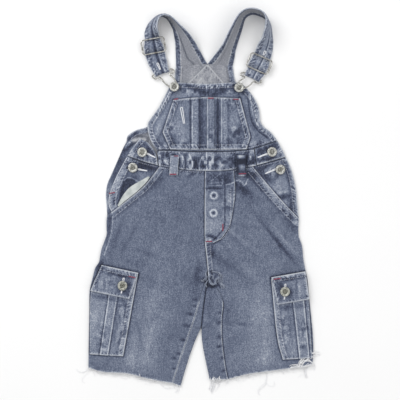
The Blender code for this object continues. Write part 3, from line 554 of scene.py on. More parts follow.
def lofted(rings, first, last):
    """Points and faces of many closed bodies at once, each a stack of rings between two poles.
    rings has the shape (bodies, rings, sides, 3); first and last hold each body's poles."""
    bodies, stack, sides, _ = rings.shape
    size = stack * sides + 2
    points = np.concatenate([rings.reshape(bodies, -1, 3), first[:, None], last[:, None]], 1)
    number = np.arange(stack * sides).reshape(stack, sides)
    after = np.roll(number, -1, axis=1)
    walls = np.stack([number[:-1], after[:-1], after[1:], number[1:]], -1).reshape(-1, 4)
    start = np.stack([np.full(sides, size - 2), after[0], number[0]], -1)
    end = np.stack([np.full(sides, size - 1), number[-1], after[-1]], -1)
    offset = (np.arange(bodies) * size)[:, None, None]
    tips = (np.vstack([start, end])[None] + offset).reshape(-1, 3)
    return points.reshape(-1, 3), (walls[None] + offset).reshape(-1, 4), tips


def around(paths, radii, sides):
    """Rings of a round thread or wire about each point of its path, square to the path."""
    ahead = unit(np.gradient(paths, axis=-2))
    across = np.stack([ahead[..., 1], -ahead[..., 0], 0 * ahead[..., 0]], -1)
    across /= np.maximum(np.linalg.norm(across, axis=-1, keepdims=True), 1e-6)
    up = np.cross(across, ahead)
    angle = np.linspace(0, 2 * np.pi, sides, endpoint=False)
    turn = (np.cos(angle)[:, None] * across[..., None, :]
            + np.sin(angle)[:, None] * up[..., None, :])
    return paths[..., None, :] + np.asarray(radii)[..., None, None] * turn


def threads(paths, radius, sides=5):
    """Many thin round bodies with pointed ends, one along each path of the same point count."""
    rings = around(paths, np.full(paths.shape[:2], radius), sides)[:, 1:-1]
    return lofted(rings, paths[:, 0], paths[:, -1])


print("a shell of 3 by 3 points has", len(shell_faces(3, 3)), "faces")

# %% [markdown]
# ## Finishes
#
# Denim is woven from indigo and white yarns. Washing pales whatever stands proud and leaves the
# hollows dark, so each cloth piece carries a paleness at every point, worked out with its
# puckers, and part of the dark in the folds and hollows of its marks is painted shade. The
# material turns that into indigo, adds the mottling of the yarns and lifts the twill's fine
# diagonal ribs.

# %% Node helpers


def node(tree, kind, inputs=(), **settings):
    """Adds a shader node, sets it, and links or fills its inputs, named or numbered."""
    made = tree.nodes.new(kind)
    for key, value in settings.items():
        setattr(made, key, value)
    for key, value in dict(inputs).items():
        if isinstance(value, bpy.types.NodeSocket):
            tree.links.new(value, made.inputs[key])
        else:
            made.inputs[key].default_value = value
    return made


def math_node(tree, operation, *values):
    """The result of a math operation on sockets or numbers."""
    return node(tree, "ShaderNodeMath", dict(enumerate(values)), operation=operation).outputs[0]


def noise_node(tree, vector, scale, detail=2.0, stretch=(1, 1, 1)):
    """Noise from 0 to 1 at a place, stretched along the axes with a small number."""
    moved = node(tree, "ShaderNodeMapping", {"Vector": vector, "Scale": stretch})
    made = node(tree, "ShaderNodeTexNoise",
                {"Vector": moved.outputs[0], "Scale": scale, "Detail": detail})
    return made.outputs["Fac"]


def ramp_node(tree, value, stops):
    """The colour that a value has between stops of a place and a colour."""
    made = node(tree, "ShaderNodeValToRGB", {"Fac": value})
    elements = made.color_ramp.elements
    while len(elements) < len(stops):
        elements.new(0.5)
    for element, (place, colour) in zip(elements, stops):
        element.position, element.color = place, (*colour, 1)
    return made.outputs["Color"]


def attribute_node(tree, name, output="Fac"):
    """A value that the mesh holds at each point."""
    return node(tree, "ShaderNodeAttribute", attribute_name=name).outputs[output]


def add_bump(tree, shader, strength, distance, height):
    """Tilts the shading by a height in metres."""
    bump = node(tree, "ShaderNodeBump", {"Strength": strength, "Distance": distance, "Height": height})
    tree.links.new(bump.outputs[0], shader.inputs["Normal"])


def new_material(name, roughness, metallic=0.0, sheen=0.0):
    """A material with its node tree and its one shader."""
    made = bpy.data.materials.new(name)
    made.use_nodes = True
    shader = made.node_tree.nodes["Principled BSDF"]
    shader.inputs["Roughness"].default_value = roughness
    shader.inputs["Metallic"].default_value = metallic
    shader.inputs["Sheen Weight"].default_value = sheen
    return made, made.node_tree, shader


# %% Denim, inside and out
# Washed indigo from dark to pale, on the cloth's outside and on its undyed inside.
OUTSIDE = ((0.0, (0.010, 0.014, 0.031)), (0.25, (0.040, 0.051, 0.094)), (0.5, (0.107, 0.131, 0.195)),
           (0.75, (0.219, 0.248, 0.318)), (1.0, (0.480, 0.512, 0.568)))
INSIDE = ((0.0, (0.045, 0.052, 0.075)), (0.3, (0.125, 0.135, 0.165)), (0.6, (0.245, 0.255, 0.290)),
          (1.0, (0.430, 0.440, 0.465)))
# Each noise: scale per mm, detail, stretch, and how much of the paleness it moves.
DENIM_NOISE = {
    "yarn": (0.64, 3.0, (1, 1, 1), 1.0), "slub": (0.5, 2.0, (1.6, 0.22, 1), 0.34),
    "mottle": (0.17, 2.0, (1, 1, 1), 0.18), "cloud": (0.035, 2.0, (1, 1, 1), 0.24),
}
TWILL_PITCH, TWILL_SLANT, TWILL_RELIEF, YARN_RELIEF, DENIM_BUMP = 0.9, 0.8, 0.25, 1.4, 0.0003


def denim_material(name):
    """Colour: a ramp on paleness plus yarn, slub and cloud noise. Bump: twill ribs and slubs.
    The cloth attribute holds each point's place on the flat cloth in millimetres."""
    made, tree, shader = new_material(name, 0.9, sheen=0.12)
    cloth = attribute_node(tree, "cloth", "Vector")
    fields = {key: noise_node(tree, cloth, *how[:3]) for key, how in DENIM_NOISE.items()}
    speckle = 0.0
    for key, field in fields.items():
        speckle = math_node(tree, "MULTIPLY_ADD", math_node(tree, "SUBTRACT", field, 0.5),
                            DENIM_NOISE[key][3], speckle)
    total = math_node(tree, "MULTIPLY_ADD", speckle, attribute_node(tree, "wash"),
                      attribute_node(tree, "paleness"))
    colour = node(tree, "ShaderNodeMix", {"Factor": attribute_node(tree, "inside")},
                  data_type="RGBA")
    tree.links.new(ramp_node(tree, total, OUTSIDE), colour.inputs[6])
    tree.links.new(ramp_node(tree, total, INSIDE), colour.inputs[7])
    tree.links.new(colour.outputs[2], shader.inputs["Base Color"])
    place = node(tree, "ShaderNodeSeparateXYZ", {"Vector": cloth})
    slant = math_node(tree, "ADD", place.outputs[0],
                      math_node(tree, "MULTIPLY", place.outputs[1], TWILL_SLANT))
    ribs = math_node(tree, "SINE", math_node(tree, "MULTIPLY", slant, 2 * math.pi / TWILL_PITCH))
    height = math_node(tree, "MULTIPLY_ADD", ribs, TWILL_RELIEF,
                       math_node(tree, "MULTIPLY", fields["yarn"], YARN_RELIEF))
    add_bump(tree, shader, 0.5, DENIM_BUMP, height)
    return made


denim = denim_material("washed_denim")
print("denim:", len(denim.node_tree.nodes), "nodes")

# %% Threads, cotton and metal
FIBRE_BUMP, SCRATCH_BUMP = 0.0002, 0.0001


def yarn_material(name, colour, darker, scale=700.0, sheen=0.1):
    """Thread and plain cotton: a colour mottled towards a darker one, with a fibre bump."""
    made, tree, shader = new_material(name, 0.85, sheen=sheen)
    place = node(tree, "ShaderNodeTexCoord").outputs["Object"]
    fibre = noise_node(tree, place, scale, 3.0)
    tree.links.new(ramp_node(tree, fibre, ((0.3, darker), (0.62, colour))),
                   shader.inputs["Base Color"])
    add_bump(tree, shader, 0.4, FIBRE_BUMP, fibre)
    return made


pale_thread = yarn_material("pale_thread", (0.58, 0.6, 0.66), (0.3, 0.32, 0.4))
white_thread = yarn_material("white_thread", (0.9, 0.91, 0.94), (0.66, 0.68, 0.73))
red_thread = yarn_material("red_thread", (0.34, 0.06, 0.1), (0.11, 0.03, 0.06))
cotton = yarn_material("cotton_lining", (0.52, 0.55, 0.54), (0.34, 0.37, 0.37), 120.0)
loose_thread = yarn_material("loose_thread", (0.9, 0.9, 0.91), (0.74, 0.75, 0.78))
worn_thread = yarn_material("worn_thread", (0.34, 0.38, 0.46), (0.1, 0.12, 0.19))


def metal_material(name, colour, darkening, roughness, metallic):
    """Cast or drawn metal: soft scratches in roughness, darker blotches where noise gathers, and
    darker metal where the mesh's hollow value is high.
    """
    made, tree, shader = new_material(name, roughness, metallic)
    place = node(tree, "ShaderNodeTexCoord").outputs["Object"]
    blotch = math_node(tree, "SUBTRACT", noise_node(tree, place, 450.0, 4.0),
                       math_node(tree, "MULTIPLY", attribute_node(tree, "hollow"), 0.4))
    scratch = noise_node(tree, place, 900.0, 2.0, stretch=(1, 6, 1))
    stops = (0.1, tuple(0.4 * c for c in darkening)), (0.36, darkening), (0.6, colour)
    tree.links.new(ramp_node(tree, blotch, stops), shader.inputs["Base Color"])
    rough = node(tree, "ShaderNodeMapRange", {"Value": scratch, "To Min": roughness - 0.1,
                                              "To Max": roughness + 0.15})
    tree.links.new(rough.outputs[0], shader.inputs["Roughness"])
    add_bump(tree, shader, 0.2, SCRATCH_BUMP, scratch)
    return made


button_metal = metal_material("button_metal", (0.58, 0.585, 0.56), (0.24, 0.24, 0.22), 0.42, 0.6)
brass_metal = metal_material("brass_metal", (0.48, 0.485, 0.44), (0.2, 0.2, 0.17), 0.42, 0.65)
wire_metal = metal_material("wire_metal", (0.56, 0.555, 0.53), (0.22, 0.21, 0.19), 0.3, 0.8)
print("materials:", len(bpy.data.materials))

# %% [markdown]
# ## Seams
#
# A seam shrinks when it is washed but the thread doesn't, so the cloth beside it puckers: short
# folds across the band, dark in the hollows and pale on the crests. One function gives the
# height and the paleness that any kind of seam adds beside its line.

# %% Kinds of seam
# The band's width and how much it stands up; paleness and width of its rim; its tint and blotches;
# strokes: distance from the edge, reach and strength of its rows of puckers, with their pitch,
# depth and shade; halo: the darker cloth just past the band; rows: where its stitches are.
# A kind says only what it has.
NO_SEAM = dict(width=3.0, rise=0.0, rim=(0.0, 1.0), tint=0.0, blotch=0.0, halo=0.0, strokes=(),
               pitch=9.0, depth=0.0, shade=0.0, rows=())
KINDS = {
    "double": dict(width=8.5, rise=0.45, rim=(0.5, 0.9), tint=0.07, blotch=0.1, halo=0.14,
                   strokes=((6.4, 1.9, 1.0), (2.6, 1.3, 0.55)), pitch=5.6, depth=0.9, shade=0.98,
                   rows=(1.7, 7.4)),
    "wide": dict(width=12.5, rise=0.45, rim=(0.52, 0.9), tint=0.17, blotch=0.18, halo=0.16,
                 strokes=((10.0, 2.0, 1.0), (3.0, 1.3, 0.5)), pitch=5.6, depth=0.8, shade=0.95,
                 rows=(1.4, 3.6, 11.4)),
    "single": dict(width=4.6, rise=0.25, rim=(0.5, 0.9), tint=0.05, blotch=0.09, halo=0.08,
                   strokes=((3.2, 1.5, 0.9),), pitch=5.0, depth=0.6, shade=0.85, rows=(1.9,)),
    # The next kind puckers a sewn join and paints a dark rim of shade in the crack along its line.
    "joined": dict(width=3.6, rise=0.1, rim=(-0.3, 1.0), blotch=0.16, strokes=((3.2, 1.8, 0.9),),
                   pitch=5.5, depth=0.5, shade=0.75, rows=(2.2,)),
    "inseam": dict(width=7.0, rise=0.2, rim=(0.4, 0.9), blotch=0.06, rows=(1.3,)),
    "plain": dict(width=2.4, rim=(0.2, 1.1), blotch=0.1),
    "raw": dict(rim=(0.55, 1.1), tint=0.05, blotch=0.24, strokes=((0.5, 1.6, 0.6),), pitch=4.0,
                depth=0.3, shade=0.22),
    # The next kind paints a shadow round the edge of a piece that lies on this one.
    "shadow": dict(rim=(-0.44, 2.0)),
    # The next kind paints a dark line of shade along a fold or a step in the cloth.
    "crease": dict(width=2.6, rim=(-0.62, 1.1), blotch=0.08),
    "edge": dict(rise=0.35, rim=(0.58, 0.8), blotch=0.06),
    "ladder": dict(width=4.2, rise=0.3, tint=0.1, blotch=0.06, halo=0.16,
                   strokes=((0.0, 3.0, 0.7),), pitch=4.8, depth=0.4, shade=0.34, rows=(0.0,)),
    "roll": dict(width=3.4, rise=1.0, rim=(0.42, 1.2), tint=0.1, blotch=0.12, halo=0.34),
    "thread": dict(width=1.5, rise=0.1, rim=(0.36, 0.8), blotch=0.08),
    "ring": dict(width=2.6, rise=0.2, rim=(0.4, 1.6), blotch=0.06, halo=0.1),
    "worn": dict(width=2.4, rise=0.9, rim=(0.26, 1.4), blotch=0.3, halo=0.3,
                 strokes=((0.0, 1.6, 0.6),), pitch=3.4, depth=0.5, shade=0.4),
}
KINDS = {name: {**NO_SEAM, **kind} for name, kind in KINDS.items()}
KINDS["calm"] = {**KINDS["double"], "depth": 0.6, "shade": 0.5}
print("kinds of seam:", len(KINDS))

# %% What a seam does to the cloth
FADE_IN, FADE_OUT = 0.8, 0.5  # how far inside and outside its edge a band fades
BLOTCHES = ((2.6, 61), (5.5, 67))  # size in mm and seed of the two noises that blotch a band
CREST_LIFT, CREST_SHINE = 0.35, 0.14  # a crest's share of the fold's depth and shade
ROW_SHINE, ROW_DEPTH = (0.1, 0.8), (0.12, 0.7)  # strength and width beside a row of stitches
HALO_AWAY, HALO_WIDTH = 1.6, 1.8


def puckers(away, along, kind, seed):
    """Folds and crests across a band: a cosine wave along the seam, sharpened to its fourth
    power, swayed and weakened by noise, and strongest beside each row of stitches."""
    sway = noise(along / 9, away / 5, seed)
    phase = np.pi * (along / kind["pitch"] + 0.10 * away + 1.3 * sway)
    strength = 0.15 + 0.85 * ease(noise(along / (1.3 * kind["pitch"]), away / 4, seed + 3), 0.3, 0.65)
    reach = sum(share * bell(away - middle, width) for middle, width, share in kind["strokes"])
    return np.cos(phase) ** 4 * strength * reach, np.sin(phase) ** 4 * strength * reach


def sewn(seams, x, y):
    """Height, paleness and wash that seams add: within the band a rise, blotches and puckers; at
    the line a rim; at each row of stitches a groove with a paler ridge."""
    relief, pale, wash = (np.zeros(np.shape(x)) for _ in range(3))
    blotches = sum(noise(x / size, y / size, seed) for size, seed in BLOTCHES) - 1
    for number, (line, name, *_) in enumerate(seams):
        kind = KINDS[name]
        away, along = beside(line, x, y)
        within = 1 - ease(away, kind["width"] - FADE_IN, kind["width"] + FADE_OUT)
        fold, crest = puckers(away, along, kind, number + len(line))
        relief += within * kind["rise"] - kind["depth"] * (fold - CREST_LIFT * crest)
        wash = np.maximum(wash, within * kind["blotch"] * 2)
        pale += within * (kind["tint"] + kind["blotch"] * blotches)
        pale -= kind["shade"] * (fold - CREST_SHINE * crest)
        pale += kind["rim"][0] * bell(away, kind["rim"][1])
        pale -= kind["halo"] * bell(away - kind["width"] - HALO_AWAY, HALO_WIDTH)
        for row in kind["rows"]:
            pale += ROW_SHINE[0] * bell(away - row, ROW_SHINE[1])
            relief -= ROW_DEPTH[0] * bell(away - row, ROW_DEPTH[1])
    return relief, pale, wash


def crinkled(rows, x, y):
    """Height, paleness and wash of shrunken cloth where the humps of rows are: thin worn ridges
    along the middle values of two noise fields, and broad dark and pale patches between them."""
    share = humps(rows, x, y)[0]
    slant = 0.35 * y
    coarse = 1 - np.abs(2 * noise((x + slant) / 6.0, y / 12.0, 81) - 1)
    fine = 1 - np.abs(2 * noise((x - slant) / 3.6, y / 6.0, 87) - 1)
    ridge = coarse**6 + 0.5 * fine**6
    patch_of = ease(noise(x / 4.0, y / 6.0, 93), 0.28, 0.72) - 0.5
    return (share * (0.8 * ridge + 0.5 * patch_of - 0.2),
            share * (0.32 * ridge + 0.66 * patch_of - 0.17), 0.5 * share)


# %% [markdown]
# ## Laying a piece of cloth
#
# Every cloth piece is laid the same way: its grid is lifted to the surface under it, thickened,
# puckered along its seams and creased where its listed marks say. Its cut edge is rounded over
# as folded cloth is. The stitches of its seams are collected and sewn on at the end.

# %% A laid piece's surface and its stitches
STITCH_PITCH, STITCH_LENGTH, THREAD_RADIUS = 3.0, 2.2, 0.34
STITCH_ARCH = np.array([-0.3, 0.12, 0.26, 0.12, -0.3])
# How wide a cut edge is rounded, how far from a seam's end its stitches stop, and the thinnest
# that cloth gets in a hollow.
ROUNDING, TRIM, THINNEST = 1.0, 2.2, 0.35
# A piece that lies on another may reach down to it within this distance of its edge.
SOFT_EDGE = 2.0
# Where a piece lies on the table, this share of its hollows shows below, up to this depth.
DENT_SHARE, DEEPEST_DENT = -0.5, 0.4
# How much the shared soft creases pale the cloth on their ridges and darken it in their troughs, and
# the deepest that dark places get.
CREASE_TONE, DEEPEST = 0.16, 0.56
UNDERSIDE_WEAVE = (0, 0, 40)  # keeps the underside's mottling unlike the top's
rows_of_stitches = []
laid = {}


def finish(spec, x, y):
    """Height, paleness and wash of a piece's seams, marks, crinkles and creases.
    Dark places are mottled, and a tanh keeps them from turning to flat black."""
    relief, pale, wash = sewn(spec["seams"], x, y)
    # A mark's paleness is partly the wash's own tone; where a mark sinks the cloth into a fold or
    # hollow and darkens it, that dark is partly painted shade.
    if spec["marks"]:
        lift, tint = humps(spec["marks"], x, y)
        relief, pale = relief + lift, pale + tint
    if spec["crinkles"]:
        lift, tint, share = crinkled(spec["crinkles"], x, y)
        relief, pale, wash = relief + lift, pale + tint, np.maximum(wash, share)
    pale = pale + CREASE_TONE * humps(CREASES, x, y)[0]
    sunk = np.minimum(pale, 0) * (0.62 + 0.76 * noise(x / 1.6, y / 1.9, 101))
    pale = np.maximum(pale, 0) + DEEPEST * np.tanh(sunk / DEEPEST)
    return relief, pale, 1 + 0.5 * np.minimum(wash, 1)


def surface_of(name, x, y):
    """The top of a laid piece at plan points."""
    spec = laid[name]
    relief = finish(spec, x, y)[0]
    return spec["under"](x, y) + spec["thickness"](x, y) + relief


def on_piece(name, plan, arch):
    """Plan points of grains of thread, each lifted off a laid piece along its length."""
    return raised(plan, surface_of(name, plan[..., 0], plan[..., 1]) + arch)


def sew(name, line, kind, hand):
    """Adds a seam's rows of running stitches at its line's left (hand 1) or right (hand -1)."""
    whole = length_of(line)
    trimmed = at_lengths(line, np.linspace(TRIM / whole, 1 - TRIM / whole,
                                           max(3, round(whole / STITCH_PITCH))))
    t = np.linspace(0, 1, len(STITCH_ARCH))[None, :, None]
    for row in KINDS[kind]["rows"]:
        even = shifted(trimmed, hand * row, STITCH_PITCH)
        plan = even[:-1, None] + unit(np.diff(even, axis=0))[:, None] * t * STITCH_LENGTH
        rows_of_stitches.append(on_piece(name, plan, STITCH_ARCH))


print("stitches every", STITCH_PITCH, "mm")

# %% Lay


def lay(node_name, grid_and_edge, under, thickness, seams=(), marks=(), crinkles=(),
        tone=0.5, inside=0.0, material=denim, slot="denim", soften=0.0):
    """Lays one piece: top = under + thickness + seams + marks, rounded over at the cut edge. A seam
    is its line, its kind and, where it is sewn, the hand of its line that its stitches are on."""
    grid, edge = grid_and_edge
    x, y = grid[..., 0], grid[..., 1]
    seams = [(line if isinstance(line, np.ndarray) else side(line), *how) for line, *how in seams]
    thick = thickness if callable(thickness) else (lambda px, py: np.full(np.shape(px), thickness))
    laid[node_name] = dict(under=under, thickness=thick, seams=seams, marks=marks,
                           crinkles=crinkles)
    relief, pale, wash = finish(laid[node_name], x, y)
    low = under(x, y)
    over = rounded(edge, ROUNDING)
    body = thick(x, y)
    high = low + body * (0.5 + 0.5 * over) + relief * over
    high = np.maximum(high, low + THINNEST)
    dented = np.clip(DENT_SHARE * relief, 0, DEEPEST_DENT)
    low = low - soften * bell(edge, SOFT_EDGE) + np.where(low < 0.01, dented, 0)
    top = np.dstack([grid, high]).reshape(-1, 3)
    bottom = np.dstack([grid, low]).reshape(-1, 3)
    within = np.broadcast_to(inside(x, y) if callable(inside) else inside, x.shape).ravel()
    piece = show(
        node_name + "_cloth", slot, material, node_name, np.vstack([top, bottom]),
        shell_faces(*grid.shape[:2]), paleness=np.tile(tone + pale.ravel(), 2),
        wash=np.tile(wash.ravel(), 2), inside=np.r_[within, 1 - within],
        cloth=np.vstack([top, bottom + UNDERSIDE_WEAVE]))
    for line, kind, *hand in seams:
        if hand:
            sew(node_name, line, kind, *hand)
    return piece


SEAM_INSET, ROLL_INSET = 0.12, 0.4


def drawn_in(grid_and_edge, by=SEAM_INSET):
    """The grid with its four sides drawn in, which leaves the gaps at the seams."""
    grid, edge = grid_and_edge
    for rows in (grid, grid.transpose(1, 0, 2)):
        for end, beside_it in ((0, 1), (-1, -2)):
            step = rows[beside_it] - rows[end]
            rows[end] += by * step / np.linalg.norm(step, axis=1, keepdims=True)
    return grid, edge


# Grid steps: fine where the puckers are the deepest, coarse on the table.
FINE, FACING_STEP, MEDIUM, COARSE = 1.0, 1.2, 1.75, 3.0
print("grid steps in mm:", FINE, FACING_STEP, MEDIUM, COARSE)

# %% [markdown]
# ## The back
#
# The back of the bib is seen from its inside between the straps, and its sides show beside the
# hips. The legs' backs lie flat on the table under the fronts, so a coarse grid is enough there.

# %% The back and its yoke
HEM_BAND, SIDE_TOP, SIDE_REACH, STRAP_JOIN = 8.6, 93.0, 96.0, 214.0
LEFT_ARMHOLE, RIGHT_ARMHOLE = side(BACK_LEFT[2:]), side(BACK_RIGHT[1:])


def back_inside(x, y):
    """1 where the back shows its inside: not on its turned hems, nor where its side rolls over."""
    hems = np.minimum(beside(LEFT_ARMHOLE, x, y)[0], beside(RIGHT_ARMHOLE, x, y)[0])
    rolled = (1 - ease(y, SIDE_TOP - 5, SIDE_TOP + 2)) * ease(np.abs(x), SIDE_REACH, SIDE_REACH + 8)
    return ease(hems, HEM_BAND - 0.6, HEM_BAND + 0.6) * (1 - rolled)


def back_thickness(x, y):
    """Denim, thickening towards the straps, whose cloth is double."""
    return DENIM + (STRAP_CLOTH + STRAP_CLEAR - DENIM) * ease(y, STRAP_JOIN - 22, STRAP_JOIN)


upper = patch(side(BACK_WAIST_LEFT, BACK_WAIST_RIGHT), side(BACK_RIGHT),
              side(((-47, 214), BACK_V), (BACK_V, (44.5, 214))), side(BACK_LEFT), 2.0, ("top",))
lay("back_upper", drawn_in(upper), on_table, back_thickness,
    seams=((LEFT_ARMHOLE, "double", -1), (RIGHT_ARMHOLE, "double", 1),
           (((-128, 84), (-121, 92.5), (-108, 97), (-96, 96)), "roll"),
           (((-37.6, 214), (-38.8, 189)), "edge")),
    # The first two marks paint shade on the side where it rolls over.
    marks=[(-134, 76, 26, 9, 62, -0.2, -0.34), (-126, 92, 12, 3, 30, -0.3, -0.3),
           (-20, 196, 30, 5, 80, 0.2, 0.1), (30, 196, 30, 5, 100, 0.2, 0.12)],
    crinkles=[(-112, 104, 16, 5, 22, 0.8)], inside=back_inside, tone=0.55, slot="denim_inside")
lay("back_yoke", quad(YOKE, 1.4), on_plain_back, LINING,
    seams=(((YOKE[0], YOKE[3]), "single", -1), ((YOKE[1], YOKE[2]), "single", 1),
           (((2, 205), (-18, 178)), "plain")),
    crinkles=[(4, 190, 30, 16, 0, 0.35)], inside=1.0, tone=0.72, slot="denim_inside")

# %% The back legs
left = patch(side(LEFT_HEM, LEFT_ROLL_HEM),
             side(LEFT_INNER_EDGE[::-1], LEG_SPLIT[::-1], CENTRE_BACK[::-1]),
             side(BACK_WAIST_LEFT), side(LEFT_SIDE[:0:-1] + BACK_LEFT_SIDE[::-1]), COARSE)
right = patch(side(RIGHT_ROLL_HEM, RIGHT_HEM), side(RIGHT_SIDE[::-1] + BACK_RIGHT_SIDE[::-1]),
              side(BACK_WAIST_RIGHT),
              side(RIGHT_INNER_EDGE[::-1], LEG_SPLIT[::-1], CENTRE_BACK[::-1]), COARSE)
# The seat seam and the creases below it are on the side that lies on the table.
lay("back_leg_left", drawn_in(left), on_table, DENIM, seams=(
    (BACK_LEFT_SIDE, "inseam"), (CENTRE_BACK, "double"), (side(LEFT_HEM, LEFT_ROLL_HEM), "raw")),
    # The first mark paints shade on the rolled side beside the hip.
    marks=[(-141, 58, 30, 8, 66, -0.1, -0.34), (-151, 18, 9, 4, 80, 0.2, 0.24),
           (-156, -2, 12, 1.6, 88, 0.2, 0.3), (-152, -34, 16, 5, 85, 0, -0.2),
           (-60, -110, 50, 8, 50, -0.3, -0.12), (-90, -180, 60, 20, 84, 0, 0.1)], tone=0.46)
lay("back_leg_right", drawn_in(right), on_table, DENIM, seams=(
    (BACK_RIGHT_SIDE, "inseam"), (CENTRE_BACK, "double"), (side(RIGHT_ROLL_HEM, RIGHT_HEM), "raw")),
    marks=[(50, -110, 50, 8, -52, -0.3, -0.12), (90, -170, 60, 20, 88, 0, 0.1)], tone=0.46)

# %% [markdown]
# ## The front legs
#
# Two large pieces with slanted pocket mouths, a felled inseam and a raw hem. Where the flaps,
# pockets and fly lie on them, a painted shadow darkens the cloth round each edge.

# %% Lines and marks of the front legs
MOUTHS = {"left": side(LEFT_POCKET_MOUTH), "right": side(RIGHT_POCKET_MOUTH)}
INSEAMS = {"left": side(LEFT_INSEAM), "right": side(RIGHT_INSEAM)}
CENTRE = side(CENTRE_FRONT)
# The worn knot where the four leg seams meet: an open cup of shrunken cloth, with painted shade in its
# hollows.
KNOT_RING = side(((6, -116.5), (5.6, -123), (8.2, -130.5), (12.6, -134.4), (16.8, -132.2),
                  (16.8, -128), (20.8, -123.8)), step=1.5)
KNOT_MARKS = [(14.5, -115.4, 7, 1.8, -4, -0.3, -0.5), (4.0, -118, 1.8, 4, 0, -0.4, -0.6),
              (18.8, -128, 2.4, 2.2, 0, -0.4, -0.5), (22.8, -136.4, 5.4, 1.8, -50, -0.4, -0.45),
              (11, -138, 7, 2, 8, -0.3, -0.42), (-1, -129.6, 3, 2.4, 0, -0.4, -0.6),
              (4, -136.4, 2.2, 2, 0, -0.4, -0.5), (12, -122.4, 4, 4, 0, 0.5, 0.2)]


def painted_shadow_round(kind, hand):
    """Marks that paint a shadow on the cloth round the buttons of this kind on this hand."""
    return [(x, y, 11.0, 11.0, 0, 0.0, -0.36) for name, (x, y, where) in BUTTONS.items()
            if where == kind and hand in name]


def edges_of(corners):
    """The straight edges between corners, in their order."""
    return [(corners[i], corners[(i + 1) % len(corners)]) for i in range(len(corners))]


def pocket_outline(sides):
    """A pocket's outline without its open top."""
    return side(sides["left"][::-1], sides["bottom"], sides["right"])


# The stitched stretch of each inseam, below the worn knot.
FELLED = {hand: at_lengths(INSEAMS[hand], np.linspace(start, 1, 60))
          for hand, start in (("left", 0.24), ("right", 0.27))}
# Where the shrunken inseams have folded: along the seam, out from it, half length and breadth.
INSEAM_FOLDS = {
    "left": ((42, 6, 3.4, 2.2), (52, 5, 2.4, 1.8), (67, 8, 5.4, 2.2), (86, 8, 4.6, 2.4),
             (110, 6, 4.4, 2.4), (133, 5, 3.4, 2.2), (142, 9, 3.6, 2.0), (158, 5, 3.0, 1.8)),
    "right": ((66, 4.6, 3.2, 2.0), (82, 4.4, 4.0, 2.6), (104, 4.2, 3.2, 3.4), (119, 6, 4.6, 2.0),
              (138, 3.6, 2.8, 2.6), (158, 4.4, 3.4, 1.8)),
}


def inseam_folds(hand):
    """Marks square to the inseam, sunk and dark, with a paler swell after each."""
    line = INSEAMS[hand]
    rows = []
    for run, out, long, broad in INSEAM_FOLDS[hand]:
        (x, y), (next_x, next_y) = at_lengths(line, np.array([run, run + 1]) / length_of(line))
        ahead = np.array([next_x - x, next_y - y]) / math.hypot(next_x - x, next_y - y)
        outward = np.array([ahead[1], -ahead[0]])
        turn = math.degrees(math.atan2(outward[1], outward[0])) + 8
        dark = np.array([x, y]) + out * outward
        pale = dark + (2.4 * broad) * ahead
        rows += [(*dark, long, broad, turn, -0.5, -0.44), (*pale, long, broad, turn, 0.3, 0.12)]
    return rows


# Rows of humps: middle x and y, half length and breadth, turn, height, paleness.
LEG_MARKS = {
    "left": [
        (-90, -200, 66, 22, 84, 0, 0.13), (-106, -256, 36, 14, 8, 0, 0.11),
        (-48, -2, 40, 28, 10, 0, -0.06), (-105, -213, 34, 2.8, -78, -0.3, -0.11),
        (-116, -238, 32, 8, 82, 0.2, 0.11), (-84, -88, 40, 4, -18, 0.2, -0.08),
        (-70, -98, 36, 4, -14, 0.2, 0.05), (-90, -232, 34, 3, 76, 0.2, 0.07),
        (-120, -62, 30, 3, 62, 0, -0.08), (-70, 34, 26, 6, 40, -0.3, -0.12),
        (-14, -118, 26, 6, 62, 0, -0.16), (-136, -44, 30, 3, 70, 0, -0.14),
        (-60, -150, 30, 3, 30, 0, 0.06), (-92, -128, 26, 3, -20, 0, -0.06),
        (-20, -160, 50, 7, 72, 0, -0.07), (-150, -92, 24, 5, 80, 0, -0.1),
        (-13, -130, 26, 4, 86, -0.2, -0.18), (-2, -127, 4, 6, 90, -0.2, -0.3),
        (-153, -40, 26, 3.6, 84, 0, -0.26), (-168, -104, 8, 4, 60, -0.4, -0.4),
    ],
    "right": [
        (84, -190, 66, 22, 88, 0, 0.17), (90, -255, 40, 12, 0, 0, 0.1), (76, -6, 30, 26, 0, 0, -0.05),
        (42, -106, 36, 4.6, -40, -0.3, -0.11), (50, -98, 34, 4, -40, 0.3, 0.07),
        (62, -198, 26, 2.6, -8, -0.2, -0.11), (64, -204, 26, 3, -8, 0.2, 0.06),
        (103, -228, 26, 9, 84, 0.2, 0.12), (120, -72, 36, 2.6, -50, 0, -0.24),
        (128, -66, 30, 3, -50, 0, 0.1), (60, 0, 44, 12, -50, 0, -0.04), (34, -78, 26, 3, -50, 0, -0.16),
        (52, -58, 34, 2.6, -40, 0, 0.1), (50, -66, 34, 3, -40, 0, -0.1), (66, -42, 40, 3, -8, 0, -0.07),
        (16, -90, 24, 4, -60, 0, -0.1), (40, -20, 10, 40, 0, 0, 0.06),
        # The first mark on the next line paints the shadow below the zigzag crease under the right belt
        # loop.
        (60, 18, 15, 5.4, -40, -0.6, -0.5), (76, 40, 12, 9, -30, 0, -0.2),
        (86, 24, 12, 5, -48, 0, -0.24), (66, 40, 26, 5, -6, -0.2, -0.22),
        (36, -190, 22, 5, 86, 0, -0.1), (135, -40, 14, 6, -48, 0, -0.16),
        (136, -27, 7, 3.6, -36, -0.5, -0.6), (126, -17, 5, 2.4, -30, -0.3, -0.4),
    ],
}
print("marks by hand:", {hand: len(rows) for hand, rows in LEG_MARKS.items()})

